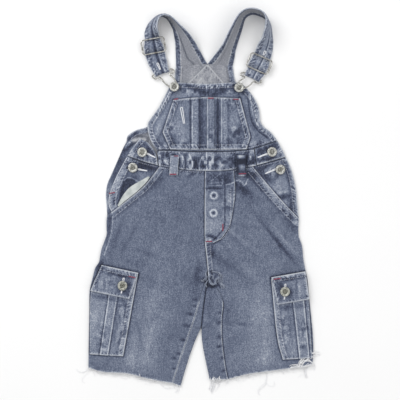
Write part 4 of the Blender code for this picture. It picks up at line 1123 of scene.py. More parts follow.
# %% Front legs
left = patch(side(LEFT_HEM), side(LEFT_INSEAM[::-1], CENTRE_FRONT[::-1]),
             side(LEFT_POCKET_MOUTH, LEFT_LEG_WAIST), side(LEFT_SIDE[::-1]), MEDIUM)
lay("front_leg_left", drawn_in(left), on_back, DENIM, seams=(
    (MOUTHS["left"], "double", -1), (LEFT_LEG_WAIST, "joined", -1),
    (FELLED["left"], "inseam", -1),
    (((-147, -26), (-148.5, -47), (-152, -62), (-161, -88)), "thread"),
    (CENTRE, "crease"), (LEFT_SIDE, "plain"),
    (LEFT_HEM, "raw"), (pocket_outline(CARGO_POCKETS["left"]), "shadow"),
    (side(*edges_of(CARGO_FLAPS["left"])), "shadow")), tone=0.51,
    marks=LEG_MARKS["left"] + inseam_folds("left") + KNOT_MARKS,
    crinkles=[(-20, 40, 30, 6, 0, 0.35), (-62, 44, 12, 5, 0, 0.4)])
right = patch(side(RIGHT_HEM), side(RIGHT_SIDE[::-1]), side(RIGHT_LEG_WAIST, RIGHT_POCKET_MOUTH),
              side(RIGHT_INSEAM[::-1], CENTRE_FRONT[::-1]), MEDIUM)
lay("front_leg_right", drawn_in(right), on_back, DENIM, seams=(
    (MOUTHS["right"], "wide", -1), (RIGHT_LEG_WAIST, "joined", -1),
    (FELLED["right"], "crease", 1), (CENTRE, "edge"), (RIGHT_SIDE, "plain"),
    (((0.5, -71), (2.5, -92.5), (5, -119)), "double", 1), (KNOT_RING, "worn"),
    (((36, 24), (44.7, 27.7), (50.3, 31.5), (57.8, 29.6), (63.4, 23), (68, 33)), "edge"),
    (RIGHT_HEM, "raw"), (pocket_outline(CARGO_POCKETS["right"]), "shadow"),
    (side(*edges_of(CARGO_FLAPS["right"])), "shadow"), (side(*FLY["right"]), "shadow")),
    marks=LEG_MARKS["right"] + KNOT_MARKS, tone=0.515, crinkles=[
        (70, 42, 22, 7, 0, 0.7), (128, -22, 16, 7, -48, 0.7), (10, -92, 24, 5, 84, 0.5)])

# %% The rolls inside the inseams
CROTCH_LEFT, CROTCH_RIGHT, CROTCH_SPLIT = (4.2, -122.8), (6.4, -122.9), (4.9, -122.9)
left = patch(side(LEFT_ROLL_HEM),
             side(LEFT_INNER_EDGE[::-1], LEG_SPLIT[:0:-1] + (CROTCH_SPLIT,)),
             side((CROTCH_LEFT, CROTCH_SPLIT)), side(LEFT_INSEAM[:0:-1] + (CROTCH_LEFT,)), MEDIUM)
lay("inseam_roll_left", drawn_in(left, ROLL_INSET), on_back, DENIM,
    seams=((FELLED["left"], "edge"), (LEFT_ROLL_HEM, "raw"),
           (LEG_SPLIT, "crease")), tone=0.51, marks=KNOT_MARKS)
right = patch(side(RIGHT_ROLL_HEM), side(RIGHT_INSEAM[:0:-1] + (CROTCH_RIGHT,)),
              side((CROTCH_SPLIT, CROTCH_RIGHT)),
              side(RIGHT_INNER_EDGE[::-1], LEG_SPLIT[:0:-1] + (CROTCH_SPLIT,)), MEDIUM)
lay("inseam_roll_right", drawn_in(right, ROLL_INSET), on_back, DENIM,
    seams=((FELLED["right"], "inseam", -1), (RIGHT_ROLL_HEM, "raw"),
           (LEG_SPLIT, "crease"), (KNOT_RING, "worn")), tone=0.51,
    marks=[(8, -170, 30, 4, 88, 0, -0.07), (8, -136, 16, 5, 0, -0.3, -0.3)]
    + inseam_folds("right") + KNOT_MARKS)

# %% [markdown]
# ## The hips
#
# Behind each slanted pocket a facing carries the side opening with its buttons. The left mouth
# gapes, and a crescent of white lining shows in it.

# %% Hip facings and the pocket lining
left = patch(MOUTHS["left"], side((LEFT_POCKET_MOUTH[-1], WAIST_BOTTOM[0])),
             side((LEFT_FACING_SIDE[0], (-100.5, 61), WAIST_BOTTOM[0])),
             side(LEFT_FACING_SIDE[::-1]), FACING_STEP)
LEFT_BAG = side(((-129, 31), (-123.2, 35.8), (-118.4, 35.2), (-113.6, 33.6), (-108.8, 30.4),
                 (-102.4, 28)))
lay("hip_facing_left", drawn_in(left), facing_low, DENIM, seams=(
    (LEFT_FACING_SIDE, "wide", 1), (MOUTHS["left"], "shadow"), (LEFT_BAG, "edge"),
    (((-124, 34), (-131, 25), (-134, 10), (-139, -6)), "crease"),
    ((LEFT_FACING_SIDE[0], (-100.5, 61), WAIST_BOTTOM[0]), "joined", -1)), tone=0.59,
    # Among the marks, those at (-120, 25) and (-131, 14) paint the shade inside the gaping pocket
    # mouth.
    marks=painted_shadow_round("facing", "left") + [
           (-120, 25, 14, 7.0, 50, -0.8, -0.95), (-131, 14, 18, 3.0, 74, -0.6, -0.75),
           (-99, 53.5, 8, 5.2, -14, -0.6, -1.05), (-86, 51.5, 11, 5.0, -16, -0.5, -0.8),
           (-124, 58, 8, 3, -10, -0.3, -0.3), (-146, 0, 12, 3, 88, -0.3, -0.3),
           (-112, 42, 12, 4, -12, 0.2, 0.12)],
    crinkles=[(-98, 50, 24, 10, -12, 0.5), (-122, 22, 12, 6, 50, 0.5)])
right = patch(MOUTHS["right"], side(RIGHT_FACING_SIDE[::-1]),
              side((WAIST_BOTTOM[-1], (105.5, 60.8), RIGHT_FACING_SIDE[0])),
              side((RIGHT_POCKET_MOUTH[0], WAIST_BOTTOM[-1])), FACING_STEP)
lay("hip_facing_right", drawn_in(right), facing_low, DENIM, seams=(
    (RIGHT_FACING_SIDE, "double", -1), (MOUTHS["right"], "shadow"),
    ((WAIST_BOTTOM[-1], (105.5, 60.8), RIGHT_FACING_SIDE[0]), "joined", -1)), tone=0.67,
    # Among the marks, the one at (125, 4.5) paints the shade in a hollow of the facing.
    marks=painted_shadow_round("facing", "right") + [
           (88, 47, 13, 5.4, -48, -0.5, -0.58), (101, 35, 9, 5.4, -40, -0.5, -0.6),
           (98, 54, 12, 4, 14, -0.5, -0.5), (125, 4.5, 9, 3.6, 12, -0.8, -0.84),
           (112, 21, 10, 9, -40, 0.6, 0.03), (124, 12, 9, 2.4, 8, 0.5, 0.22),
           (137, -6, 18, 5, -82, -0.4, -0.4), (133, 36, 16, 3, -78, -0.4, -0.36),
           (127, -8, 8, 4, -50, 0.4, 0.14)],
    crinkles=[(106, 46, 24, 11, 4, 0.9), (128, -4, 18, 8, -60, 0.6)])
low, high = side(LINING_PIECE["bottom"]), side(LINING_PIECE["top"])
lay("pocket_lining_left",
    patch(low, side((low[-1], high[-1])), high, side((low[0], high[0])), 1.0, ("bottom",)),
    on_facing, LINING, material=cotton, slot="lining",
    marks=[(-116, 10, 24, 7, 44, 1.1, 0), (-120, 10, 16, 1.4, 50, -0.4, 0)])

# %% [markdown]
# ## The waistband
#
# Two layers shrunk against each other give the deepest puckers of the garment.

# %% Waistband
LOOP_SHADOWS = [(side(*edges_of(corners)), "shadow") for corners, _ in BELT_LOOPS.values()]
band = patch(side(WAIST_BOTTOM), side((WAIST_BOTTOM[-1], WAIST_TOP[-1])), side(WAIST_TOP),
             side((WAIST_BOTTOM[0], WAIST_TOP[0])), FINE)
lay("waistband", drawn_in(band), on_back, DOUBLE_DENIM, seams=(
    (WAIST_BOTTOM, "single", 1), (WAIST_TOP, "joined", -1),
    (((2.2, 46), (2.4, 78)), "edge"), (((-4, 70), (-9.6, 57), (-8.5, 48)), "edge"),
    (((-25, 72), (-20, 60), (-21, 50)), "edge"), (((45.6, 70), (45.8, 51)), "edge"),
    (((-36, 70), (-33, 58), (-36, 50)), "edge"), *LOOP_SHADOWS), tone=0.58,
    # The marks at x 46 and x 67 paint shade beside the bunched right belt loop.
    marks=[(46, 62, 12, 5, 90, -0.7, -0.66), (9, 59, 8, 4, 90, 0.4, 0.2),
           (67, 63, 12, 4.4, 84, -0.7, -0.8), (-15, 54, 9, 3.4, 80, -0.5, -0.4),
           (-3, 52, 5, 3, 0, -0.5, -0.36), (18, 62, 9, 4, 80, -0.5, -0.36),
           (32, 55, 8, 2.6, 0, 0.3, 0.22), (33, 66, 9, 4, 0, -0.4, -0.36),
           (-30, 62, 9, 3, 84, -0.5, -0.4), (-54, 51, 22, 3, -6, -0.2, -0.26),
           (-62, 66, 8, 4, 60, -0.4, -0.36)],
    crinkles=[(-6, 62, 60, 14, 0, 1.1), (-64, 64, 14, 14, 0, 1.1), (74, 66, 10, 14, 0, 1.1)])

# %% Buttonhole ends
TAB_LOOKS = {
    "left": dict(end="double", crinkle=(-98, 76, 24, 14, 0, 0.9), marks=[
        (-85, 76, 7, 4.6, -34, -0.6, -0.66), (-92, 84, 8, 3, -50, -0.4, -0.3),
        (-104, 66, 9, 3, -20, -0.3, -0.24), (-112, 78, 8, 4, 60, 0.2, 0.12)]),
    "right": dict(end="plain", crinkle=(100, 74, 26, 14, 10, 1.1), marks=[
        (92, 79, 10, 3.4, 20, -0.5, -0.7), (90, 64, 8, 3, 12, -0.5, -0.6),
        (102, 65, 6, 2.6, 20, -0.4, -0.6), (108, 88, 8, 2.6, 20, -0.4, -0.5),
        (122, 78, 9, 5, -60, 0.3, 0.24)]),
}
for hand, look in TAB_LOOKS.items():
    lines = {name: side(line) for name, line in TABS[hand].items()}
    lay(f"waist_tab_{hand}", drawn_in(between(lines, FINE)), on_back, DOUBLE_DENIM,
        tone=0.65, crinkles=[look["crinkle"]],
        marks=look["marks"] + painted_shadow_round("waist", hand), seams=(
            (lines["bottom"], "single", 1), (lines["right"], "single", 1),
            (lines["left"], look["end"], -1)))

# %% Belt loops
# The right loop is bunched: its lower tone and the deep dark mark under its top fold paint the shade in
# its hollow; its top fold and the greenish mark below it are paler.
LOOP_LOOKS = {
    "left": dict(tone=0.7, rim="plain", folds=[]),
    "right": dict(tone=0.43, rim="shadow", folds=[
        (56.4, 68.9, 6.4, 4.8, 0, 1.8, 0.54), (58, 61.4, 12, 4.4, 0, -2.2, -1.3),
        (58, 53, 5.4, 4.2, -20, 0.8, 0.34), (53, 51, 2.4, 6, 0, -0.5, -0.3),
        (57, 45, 9, 2.6, 0, -0.4, -0.3), (59, 38.9, 6, 1.2, 3, 0.4, 0.5)]),
}
for hand, (corners, arch) in BELT_LOOPS.items():
    def arched(x, y, low=corners[0][1], high=corners[3][1], arch=arch):
        """The waistband's top, with half a sine wave from the loop's low end to its high end."""
        return on_double(x, y) + arch * np.sin(np.pi * np.clip((y - low) / (high - low), 0, 1))

    look = LOOP_LOOKS[hand]
    lay(f"belt_loop_{hand}", quad(corners, 1.1), arched, DENIM,
        seams=[((corners[foot], corners[head]), look["rim"]) for foot, head in ((0, 3), (1, 2))],
        marks=look["folds"], tone=look["tone"])

# %% [markdown]
# ## The bib and its pocket
#
# The bib's sides and top are folded hems with two rows of stitches. Its six-sided pocket is
# divided by strips.

# %% Bib
BIB_EDGES = [side(BIB_LEFT), side(BIB_TOP), side(BIB_RIGHT)]
bib = patch(side(BIB_BOTTOM), BIB_EDGES[2], BIB_EDGES[1], BIB_EDGES[0], FINE)
POCKET_EDGES = {name: side(*BIB_POCKET[name]) for name in BIB_POCKET}
lay("bib", drawn_in(bib), on_back, DENIM, seams=(
    (BIB_EDGES[0], "double", -1), (BIB_EDGES[1], "double", -1), (BIB_EDGES[2], "double", 1),
    (BIB_BOTTOM, "joined", 1), (((2, 186), (3, 163)), "edge"),
    (((67, 168), (70.5, 147), (74.5, 127), (84, 111), (100, 99)), "crease"),
    (((72, 166), (75, 147), (79, 129), (88, 114)), "thread"),
    (((-56.8, 171), (-69.4, 147.8), (-82.5, 121)), "thread"),
    (((8.5, 186), (9, 163)), "plain"),
    *((POCKET_EDGES[name], "shadow") for name in ("left", "right", "top"))),
    tone=0.63, marks=[
        (-14, 177, 12, 3.4, -20, -0.8, -0.9), (24, 175, 13, 3.6, 6, -0.8, -0.8),
        (0, 170, 11, 3.6, -10, -0.3, -0.8), (16, 168, 8, 3.0, 10, -0.3, -0.6),
        (-27, 182, 6, 3, -50, -0.5, -0.7), (47, 182, 6, 3, 46, -0.5, -0.7),
        (-12, 182, 8, 2.0, 4, 0.3, 0.14), (28, 182, 8, 2.0, 0, 0.3, 0.14),
        (-66, 112, 34, 4, 64, -0.2, -0.14), (-78, 106, 26, 4, 68, 0.3, 0.12),
        (76, 122, 30, 3.4, -72, -0.4, -0.26), (80, 104, 20, 4, -50, 0.3, 0.1),
        (-58, 168, 20, 3, 60, 0.2, 0.14), (60, 150, 24, 4, -68, -0.3, -0.2),
        (94, 98, 14, 8, -20, 0.2, -0.12), (-72, 92, 12, 8, 30, 0.2, -0.12)]
    + painted_shadow_round("bib", "left") + painted_shadow_round("bib", "right"),
    crinkles=[(-14, 178, 20, 7, 0, 0.9), (32, 178, 20, 7, 0, 0.9), (88, 90, 26, 5, 14, 0.7),
              (-70, 88, 12, 7, 0, 0.7), (0, 170, 60, 5, 0, 0.4)])

# %% Bib pocket and its strip


def upright(x, kind, bottom=81.5, top=161.5, lean=0.0):
    """A line of the pocket's pleats, straight up and down, as a seam of this kind."""
    return (((x - lean, bottom), (x, top)), kind)


lay("bib_pocket", between(POCKET_EDGES, 0.9 * FINE), on_front, DENIM, seams=(
    (POCKET_EDGES["bottom"], "double", 1), (POCKET_EDGES["right"], "double", 1),
    (POCKET_EDGES["top"], "single", -1), (POCKET_EDGES["left"], "double", -1),
    upright(-20.3, "edge"), upright(-23.4, "crease"), upright(-15, "ladder"),
    upright(-8.6, "crease", lean=-1), upright(26.1, "edge"), upright(31.4, "ladder"),
    upright(20.4, "crease")), tone=0.585,
    marks=[(-4.6, 120, 60, 5.0, 90, -0.4, -0.46), (20, 120, 60, 4.6, 90, -0.4, -0.44),
           (-2, 120, 50, 1.0, 90, 0.1, 0.16), (17.4, 118, 50, 0.9, 90, 0.1, 0.14),
           (-40, 122, 30, 9, 90, 0, 0.1), (48, 128, 24, 7, 80, 0, 0.08),
           (52, 108, 14, 6, 30, -0.4, -0.3), (40, 92, 12, 6, 20, -0.3, -0.24),
           (-54, 104, 12, 5, -40, -0.3, -0.2)],
    crinkles=[(50, 104, 14, 18, 0, 0.7), (-56, 112, 10, 24, 0, 0.55), (-36, 90, 22, 7, 0, 0.5),
              (44, 150, 16, 8, 0, 0.5)], soften=GAP)
lay("bib_pocket_strip", quad(STRIP, FINE), on_bib_pocket, DENIM, seams=(
    (((3.9, 82), (3.9, 162.5)), "edge"), (((14.2, 82), (14.2, 162.5)), "plain"),
    (((9, 82), (9, 162)), "ladder")), tone=0.505, soften=GAP,
    crinkles=[(9, 100, 20, 8, 90, 0.5)])

# %% [markdown]
# ## The fly
#
# A double placket with a J-shaped row of stitches; two concealed buttons push pale rings up
# through it.

# %% Fly placket
FLY_EDGES = {name: side(*FLY[name]) for name in FLY}


def fly_thickness(x, y):
    """Denim, and a flat-based dome over each concealed button: 1 - (distance / radius)^2."""
    total = np.full(np.shape(x), DENIM)
    for dome_x, dome_y, radius, rise in FLY_DOMES:
        total += rise * np.clip(1 - ((x - dome_x) ** 2 + (y - dome_y) ** 2) / radius**2, 0, 1)
    return total


def circle(x, y, radius):
    """A closed ring of points in the plan."""
    angle = np.linspace(0, 2 * np.pi, 33)
    return np.column_stack([x + radius * np.cos(angle), y + radius * np.sin(angle)])


PLACKET_EDGE = ((31.5, 46), (31.5, -30), (29, -46), (14, -64))
J_LINE = ((43.2, 20), (43, -30), (40, -48), (30, -62), (16, -67.5))
RING_RADIUS = 5.0
lay("fly_placket", between(FLY_EDGES, FINE), on_front, fly_thickness, seams=(
    (FLY_EDGES["left"], "edge"), (FLY_EDGES["right"], "edge"), (J_LINE, "joined", -1),
    (PLACKET_EDGE, "crease"), (((1, 18.4), (27, 18.4)), "crease"),
    (((34, 24.4), (40, 25.4), (46, 28.3)), "edge"),
    *((line, "thread") for line in (((4, 22.4), (26, 23.2)), ((7, 44), (28, 26)),
                                    ((26, 43), (5, 27)), ((8, 27), (24, 27.5)))),
    *((circle(x, y, RING_RADIUS), "ring") for x, y, *_ in FLY_DOMES),
    (((2, -56.5), (10, -58.5), (18, -62)), "crease")), tone=0.62, soften=GAP,
    # Among the marks, those at (26, 6) and (25, -20) paint shadows beside the two raised rings, and the
    # one at (10, -57.5) paints the shadow in the gap under the placket's lower flap.
    marks=[(15, 33, 17, 13, 0, -0.3, -0.52), (38, 34, 9, 12, 0, -0.2, -0.44),
           (14, 20, 12, 2.4, 0, -0.5, -0.5), (39, 1, 4.6, 13, 0, 0.1, 0.1),
           (14, 7, 2.2, 2.2, 0, -0.4, -0.62), (13.5, -20.5, 2.2, 2.2, 0, -0.4, -0.62),
           (26, 6, 4, 8, 0, -0.2, -0.24), (25, -20, 4, 8, 0, -0.2, -0.2),
           (10, -57.5, 9, 2.6, -14, -0.7, -0.5), (13, -42, 13, 9, 0, 0.2, 0.08),
           (38, -13, 6, 3, 0, -0.4, -0.4), (24, -66, 8, 3, 30, 0, -0.1)],
    crinkles=[(22, 34, 26, 12, 0, 0.45), (34, -18, 6, 12, 0, 0.5), (8, -64, 12, 5, 0, 0.5)])

# %% [markdown]
# ## The cargo pockets
#
# A pocket on each thigh with one raised pleat, closed by a buttoned flap.

# %% Cargo pockets and flaps
# In each list, the long mark just below the flap's lower edge, at (-158, -156) and (140, -170), paints
# the flap's shadow on the pocket.
CARGO_MARKS = {
    "left": [(-164, -212, 5, 2.6, 0, -0.4, -0.4), (-166, -229.5, 5, 2.2, 0, -0.4, -0.44),
             (-158, -156, 24, 4, -10, 0, -0.34), (-176, -190, 30, 5, 84, 0, 0.1),
             (-138, -190, 40, 6, 76, 0, -0.14), (-160, -238, 5, 4, 0, 0.2, 0.2),
             (-160, -195, 6, 5, 0, 0.1, 0.12)],
    "right": [(157, -206, 5, 3, 0, -0.4, -0.4), (157, -234, 5, 4, 0, -0.4, -0.36),
              (140, -170, 24, 4, 8, 0, -0.3), (157, -222, 5, 4, 0, 0.2, 0.16),
              (136, -200, 44, 6, 92, 0, -0.1)],
}
CARGO_CRINKLES = {
    "left": [(-130, -196, 14, 44, 0, 0.6), (-165, -220, 10, 30, 0, 0.4)],
    "right": [(126, -200, 8, 44, 0, 0.4), (158, -215, 8, 30, 0, 0.45)],
}
FLAP_MARKS = {
    "left": [(-133, -120.5, 19, 2.4, -11, -0.5, -0.56), (-121, -136, 4, 8, 0, -0.5, -0.6),
             (-131, -145, 10, 3, -10, -0.3, -0.34), (-150, -132, 8, 5, 0, 0, -0.12),
             (-166, -107, 8, 4, 10, -0.4, -0.56), (-172, -118, 4, 8, 20, -0.2, -0.3)],
    "right": [(138, -124.5, 19, 2.6, 10, -0.5, -0.6), (119, -137, 7, 6, 0, -0.4, -0.5),
              (135, -148, 4, 7, 0, -0.3, -0.4), (145, -140, 2.0, 16, 0, -0.4, -0.24),
              (150, -142, 2.0, 16, 0, 0.2, 0.12)],
}
FLAP_CRINKLES = {
    "left": [(-140, -118, 30, 5, -12, 0.5), (-152, -134, 22, 10, -12, 0.45),
             (-176, -122, 8, 12, 0, 0.5)],
    "right": [(136, -122, 28, 5, 9, 0.6), (118, -156, 12, 6, 0, 0.4)],
}
FLAP_SEAMS = ("single", "single", "double", "single")
PLEAT_CREASE = np.array([1.7, 0.0])
for hand, sides in CARGO_POCKETS.items():
    lines = {name: side(line) for name, line in sides.items()}
    folds = [np.vstack([at_lengths(lines[end], [share]) for end in ("bottom", "top")])
             for share in PLEATS[hand]]

    def pleated(x, y, folds=folds):
        """Denim, and one more fold's height between the pleat's two edges."""
        inner, outer = (beside(fold, x, y)[0] for fold in folds)
        gap = length_of([folds[0][0], folds[1][0]])
        return DENIM + PLEAT_RISE * ease(gap + 1.5 - np.maximum(inner, outer), 0, 1.6)

    ends = dict(zip(("left", "right"), ("plain", "calm") if hand == "left" else ("calm", "plain")))
    lay(f"cargo_pocket_{hand}", between(lines, FINE), on_front, pleated,
        tone=0.67, soften=GAP,
        seams=((lines["bottom"], "single", 1), (lines["right"], ends["right"], 1),
               (lines["left"], ends["left"], -1), (folds[0], "crease"),
               (folds[0] + PLEAT_CREASE, "edge"), (folds[1], "edge"),
               (folds[1] + PLEAT_CREASE, "crease")),
        marks=CARGO_MARKS[hand], crinkles=CARGO_CRINKLES[hand])
    lay(f"cargo_flap_{hand}", quad(CARGO_FLAPS[hand], FINE), on_cargo_pocket, DOUBLE_DENIM,
        tone=0.67, soften=GAP,
        seams=[(edge, kind, 1) for edge, kind in zip(edges_of(CARGO_FLAPS[hand]), FLAP_SEAMS)],
        marks=FLAP_MARKS[hand] + painted_shadow_round("flap", hand), crinkles=FLAP_CRINKLES[hand])

# %% [markdown]
# ## The straps
#
# Each strap runs up from the back, rolls over at the shoulder so that its outside comes up, goes
# through the slider and folds round the hook's bar. Its centre line, width and roll are carried
# along a smooth curve, and the cloth is a bowed strip across them.

# %% Strap centre lines
STRAPS = {
    "left": (
        (-21.6, 216.05, 0, 50, 4.5, 0), (-27.8, 238, 0, 38.7, 3, 6), (-34, 255.8, 0, 32, 4, 29),
        (-44.4, 272.4, 0, 31, 14, 66), (-53.1, 283.6, 0, 32, 34, 79), (-59.5, 289.2, 0, 32, 62, 88),
        (-66.5, 291.6, 0, 32, 96, 96), (-75.4, 288.6, 0, 32, 130, 107), (-82.3, 277.6, 0, 32, 146, 123),
        (-84.2, 268, 0, 29, 166, 142), (-84.6, 261.5, 1.0, 24, 184, 170),
        (-84.5, 256.8, 1.8, 24, 191, 180), (-84, 254, 2.5, 26, 191, 180),
        (-82.9, 248.4, 8.4, 28, 191, 180), (-82.3, 245.5, 8.6, 30, 191, 180),
        (-81.7, 242.6, 8.4, 31, 191, 180), (-80.6, 237, 2.8, 32, 191, 180),
        (-80, 233.7, 2.6, 32, 191, 180), (-75, 218, 3.4, 30, 194, 180),
        (-69.4, 204.2, 4.9, 24, 200, 180),
    ),
    "right": (
        (24.4, 216.05, 0, 40, -5.6, 0), (31, 227.5, 0, 33, -11, -18), (36.8, 239.2, 0, 32, -16, -42),
        (42.4, 253.1, 0, 32, -14, -51), (51, 273.8, 0, 32, -14, -60), (60, 292.2, 0, 32, -22, -72),
        (74.5, 298.6, 0, 32, -76, -83), (90.8, 293.4, 0, 32, -122, -88),
        (99.3, 280.2, 0, 32, -156, -107), (98.8, 258.7, 0, 31, -169, -126),
        (95.5, 243, 0.1, 29, -190, -152), (91.4, 228.5, 1.7, 28, -204, -180),
        (90, 225.5, 2.5, 29, -204, -180), (87.7, 220.2, 8.4, 30, -204, -180),
        (86.5, 217.5, 8.6, 31, -204, -180), (85.3, 214.8, 8.4, 31, -204, -180),
        (83, 209.5, 2.8, 31, -204, -180), (81.6, 206.5, 2.6, 30, -204, -180),
        (76.2, 197, 4.9, 26, -206, -180),
    ),
}
STRAP_STATIONS, STRAP_COLUMNS, STRAP_BOW, HOOK_BAR_LIFT = 250, 30, 2.5, 3.6
SLIDERS = {"left": (-82.3, 245.5, 11.0), "right": (86.5, 217.5, -24.0)}


def strap_frames(hand):
    """The strap's centre points, width vectors and outward bow, round the hook's bar and back."""
    x, y, lift, width, heading, roll = smooth(STRAPS[hand], STRAP_STATIONS).T
    heading, roll = np.radians(heading), np.radians(roll)
    upright, flat = np.abs(np.sin(roll)), np.abs(np.cos(roll))
    height = lift + STRAP_CLEAR + upright * width / 2 + flat * STRAP_CLOTH / 2
    centres = np.column_stack([x, y, height])
    across = np.column_stack([np.cos(roll) * np.cos(heading), np.cos(roll) * np.sin(heading),
                              np.sin(roll)])
    bar = np.array([x[-1], y[-1], HOOK_BAR_LIFT])
    ahead = np.array([across[-1, 1], -across[-1, 0], 0])
    radius = centres[-1, 2] - HOOK_BAR_LIFT
    turn = np.radians(np.linspace(10, 180, 18))[:, None]
    fold = bar + radius * (np.sin(turn) * ahead + np.cos(turn) * np.array([0, 0, 1]))
    slider = np.array([SLIDERS[hand][0], SLIDERS[hand][1], fold[-1, 2]])
    back = fold[-1] + (slider - fold[-1]) * np.linspace(0.1, 1, 10)[:, None]
    extra = len(fold) + len(back)
    bow = STRAP_BOW * np.sin(roll) * upright
    bows = np.column_stack([bow * np.cos(heading), bow * np.sin(heading), 0 * bow])
    centres = np.vstack([centres, fold, back])
    centres[0] += 0.35 * (centres[0] - centres[1]) / length_of(centres[:2])
    across = np.vstack([across * width[:, None], np.repeat(across[-1:] * width[-1], extra, axis=0)])
    return centres, across, np.vstack([bows, np.zeros((extra, 3))])


print("stations along a strap:", STRAP_STATIONS)

# %% Straps
# How pale the strap's inside, turned hems and outside are; the width of the groove's painted
# shade; how much painted shade the crease adds, and how far from the middle it is; the keyhole's
# ends in the plan.
STRAP_LOOKS = {
    "left": dict(within=0.55, hems=0.385, outside=0.61, stripe=2.6, fold=0.4,
                 crease=(4, 3, -3.5, -5.5, -5), keyhole=((-75.5, 217), (-71.5, 208))),
    "right": dict(within=0.59, hems=0.4, outside=0.665, stripe=1.2, fold=0.14,
                  crease=(-5, -4.5, -4, -3, -1), keyhole=((95.6, 236), (93.2, 231))),
}
STRAP_BAND, GROOVE_AT, GROOVE_FROM, FRONT_BRANCH, STRAP_ROUNDING = 7.6, 1.5, 95, 140, 0.9
# Where each crease value holds, in millimetres along the strap from the back.
CREASE_STATIONS = (0, 3, 11, 38, 70)


def strap_pattern(look, along, s, width):
    """Distance from the hem, the hems' band, relief and the paleness of both faces. Both hems
    pucker; a wandering groove with painted shade in it and a ridge with painted light beside it
    run down the front branch, and a crease with painted shade crosses the cloth by the back."""
    edge, run = (0.5 - np.abs(s)) * width, along + 57 * (s > 0)
    band = 1 - ease(edge, STRAP_BAND - 0.6, STRAP_BAND + 0.6)
    fold, crest = puckers(edge, run, KINDS["double"], 31)
    blotches = noise(run / 2.8, edge / 2.8, 41) + noise(run / 6, edge / 5, 43) - 1
    front = ease(along, GROOVE_FROM, GROOVE_FROM + 12)
    wander = 2.2 * (noise(along / 22, 0 * s, 5) - 0.5)
    shaded_groove = bell(s * width - GROOVE_AT - wander, look["stripe"]) * front
    ridge = bell(s * width - GROOVE_AT - wander - 1.0 - look["stripe"], 0.9) * front
    creased = np.interp(along, CREASE_STATIONS, look["crease"])
    crease = bell(s * width - creased, 1.3) * (1 - ease(along, *CREASE_STATIONS[-2:]))
    relief = 0.35 * band - 0.7 * (fold - CREST_LIFT * crest) - 0.5 * shaded_groove - 0.3 * crease
    shading = 0.36 * bell(edge, 1.0) - 0.66 * fold + 0.08 * crest + 0.20 * band * blotches
    # On the inside face, the crease's darkening is painted shade.
    within = (look["within"] * (1 - band) + look["hems"] * band + shading
              + 0.46 * bell(edge - STRAP_BAND, 1.0) - look["fold"] * crease)
    centre_band = bell(s * width, 4.5) * front
    # On the outside face: painted shade in the groove and painted light on the ridge beside it.
    without = look["outside"] + shading - 0.56 * shaded_groove + 0.30 * ridge + 0.10 * centre_band
    return edge, band, relief, within, without


strap_tops = {}


def on_strap(hand, plan):
    """The height of the strap's front branch at plan points: its four nearest points' mean."""
    away = ((plan[..., None, :] - strap_tops[hand][:, :2]) ** 2).sum(-1)
    nearest = np.argpartition(away, 4, axis=-1)[..., :4]
    return strap_tops[hand][nearest, 2].mean(-1)


for hand, look in STRAP_LOOKS.items():
    centres, across, bows = strap_frames(hand)
    width = np.linalg.norm(across, axis=1)[:, None]
    s = (fractions(32, 32 / STRAP_COLUMNS) - 0.5)[None]
    points = centres[:, None] + across[:, None] * s[..., None]
    points = points + bows[:, None] * (1 - 4 * s[..., None] ** 2)
    along = runs_of(centres)[:, None]
    edge, band, relief, within, without = strap_pattern(look, along, s, width)
    normal = unit(np.cross(np.gradient(points, axis=1), np.gradient(points, axis=0)))
    over = rounded(edge, STRAP_ROUNDING)
    half = (STRAP_CLOTH / 2 * (0.55 + 0.45 * over) + 0.4 * relief * over)[..., None]
    upper, lower = points + normal * half, points - normal * half
    rows, columns = points.shape[:2]
    higher = np.where(upper[..., 2:] > lower[..., 2:], upper, lower)
    strap_tops[hand] = higher[FRONT_BRANCH:STRAP_STATIONS].reshape(-1, 3)
    flat_cloth = np.dstack([s * width + 0 * along, along + 0 * s, 0 * edge]).reshape(-1, 3)
    strap = show(
        f"strap_{hand}_cloth", "denim", denim, f"strap_{hand}",
        np.vstack([upper.reshape(-1, 3), lower.reshape(-1, 3)]), shell_faces(rows, columns),
        paleness=np.r_[within.ravel(), without.ravel()],
        inside=np.r_[1 - band.ravel(), np.zeros(rows * columns)],
        wash=np.tile(1 + band.ravel(), 2), cloth=np.vstack([flat_cloth, flat_cloth + UNDERSIDE_WEAVE]))
    print(f"strap_{hand}: {along[-1, 0]:.0f} mm long")

# %% [markdown]
# ## Sliders and hooks
#
# Both are bent from one round wire, so each is a circle carried round a closed path.

# %% Bent wire
WIRE_RADIUS, SHANK_RADIUS = 1.15, 2.8
SLIDER_WIDTH, SLIDER_HEIGHT, SLIDER_CORNER, SLIDER_LIFT, SLIDER_POINTS = 37.0, 23.0, 4.0, 6.8, 120
# How far the middle bar stops short of the frame's middle line, and how much thinner it is.
BAR_SHORT, BAR_THINNER = 0.4, 0.95
HOOK_HALF = ((0, 0), (7, 0), (13.6, 0), (16.6, 1.3), (17.4, 4), (15.2, 6.7), (9.6, 6.4), (7.6, 8.6),
             (8.4, 14), (8.2, 19), (6.4, 24), (5.6, 28), (3.8, 31.4), (0, 32.8))
HOOK_SLACK, HOOK_POINTS, WIRE_SIDES = 1.6, 120, 12


def closed_wire(path):
    """Points and quads of a round wire along a closed path."""
    looped = np.vstack([path[-1:], path, path[:1]])
    rings = around(looped, np.full(len(looped), WIRE_RADIUS), WIRE_SIDES)[1:-1]
    number = np.arange(len(path) * WIRE_SIDES).reshape(len(path), WIRE_SIDES)
    after, ahead = np.roll(number, -1, axis=1), np.roll(number, -1, axis=0)
    both = np.roll(after, -1, axis=0)
    return rings.reshape(-1, 3), np.stack([number, after, both, ahead], -1).reshape(-1, 4)


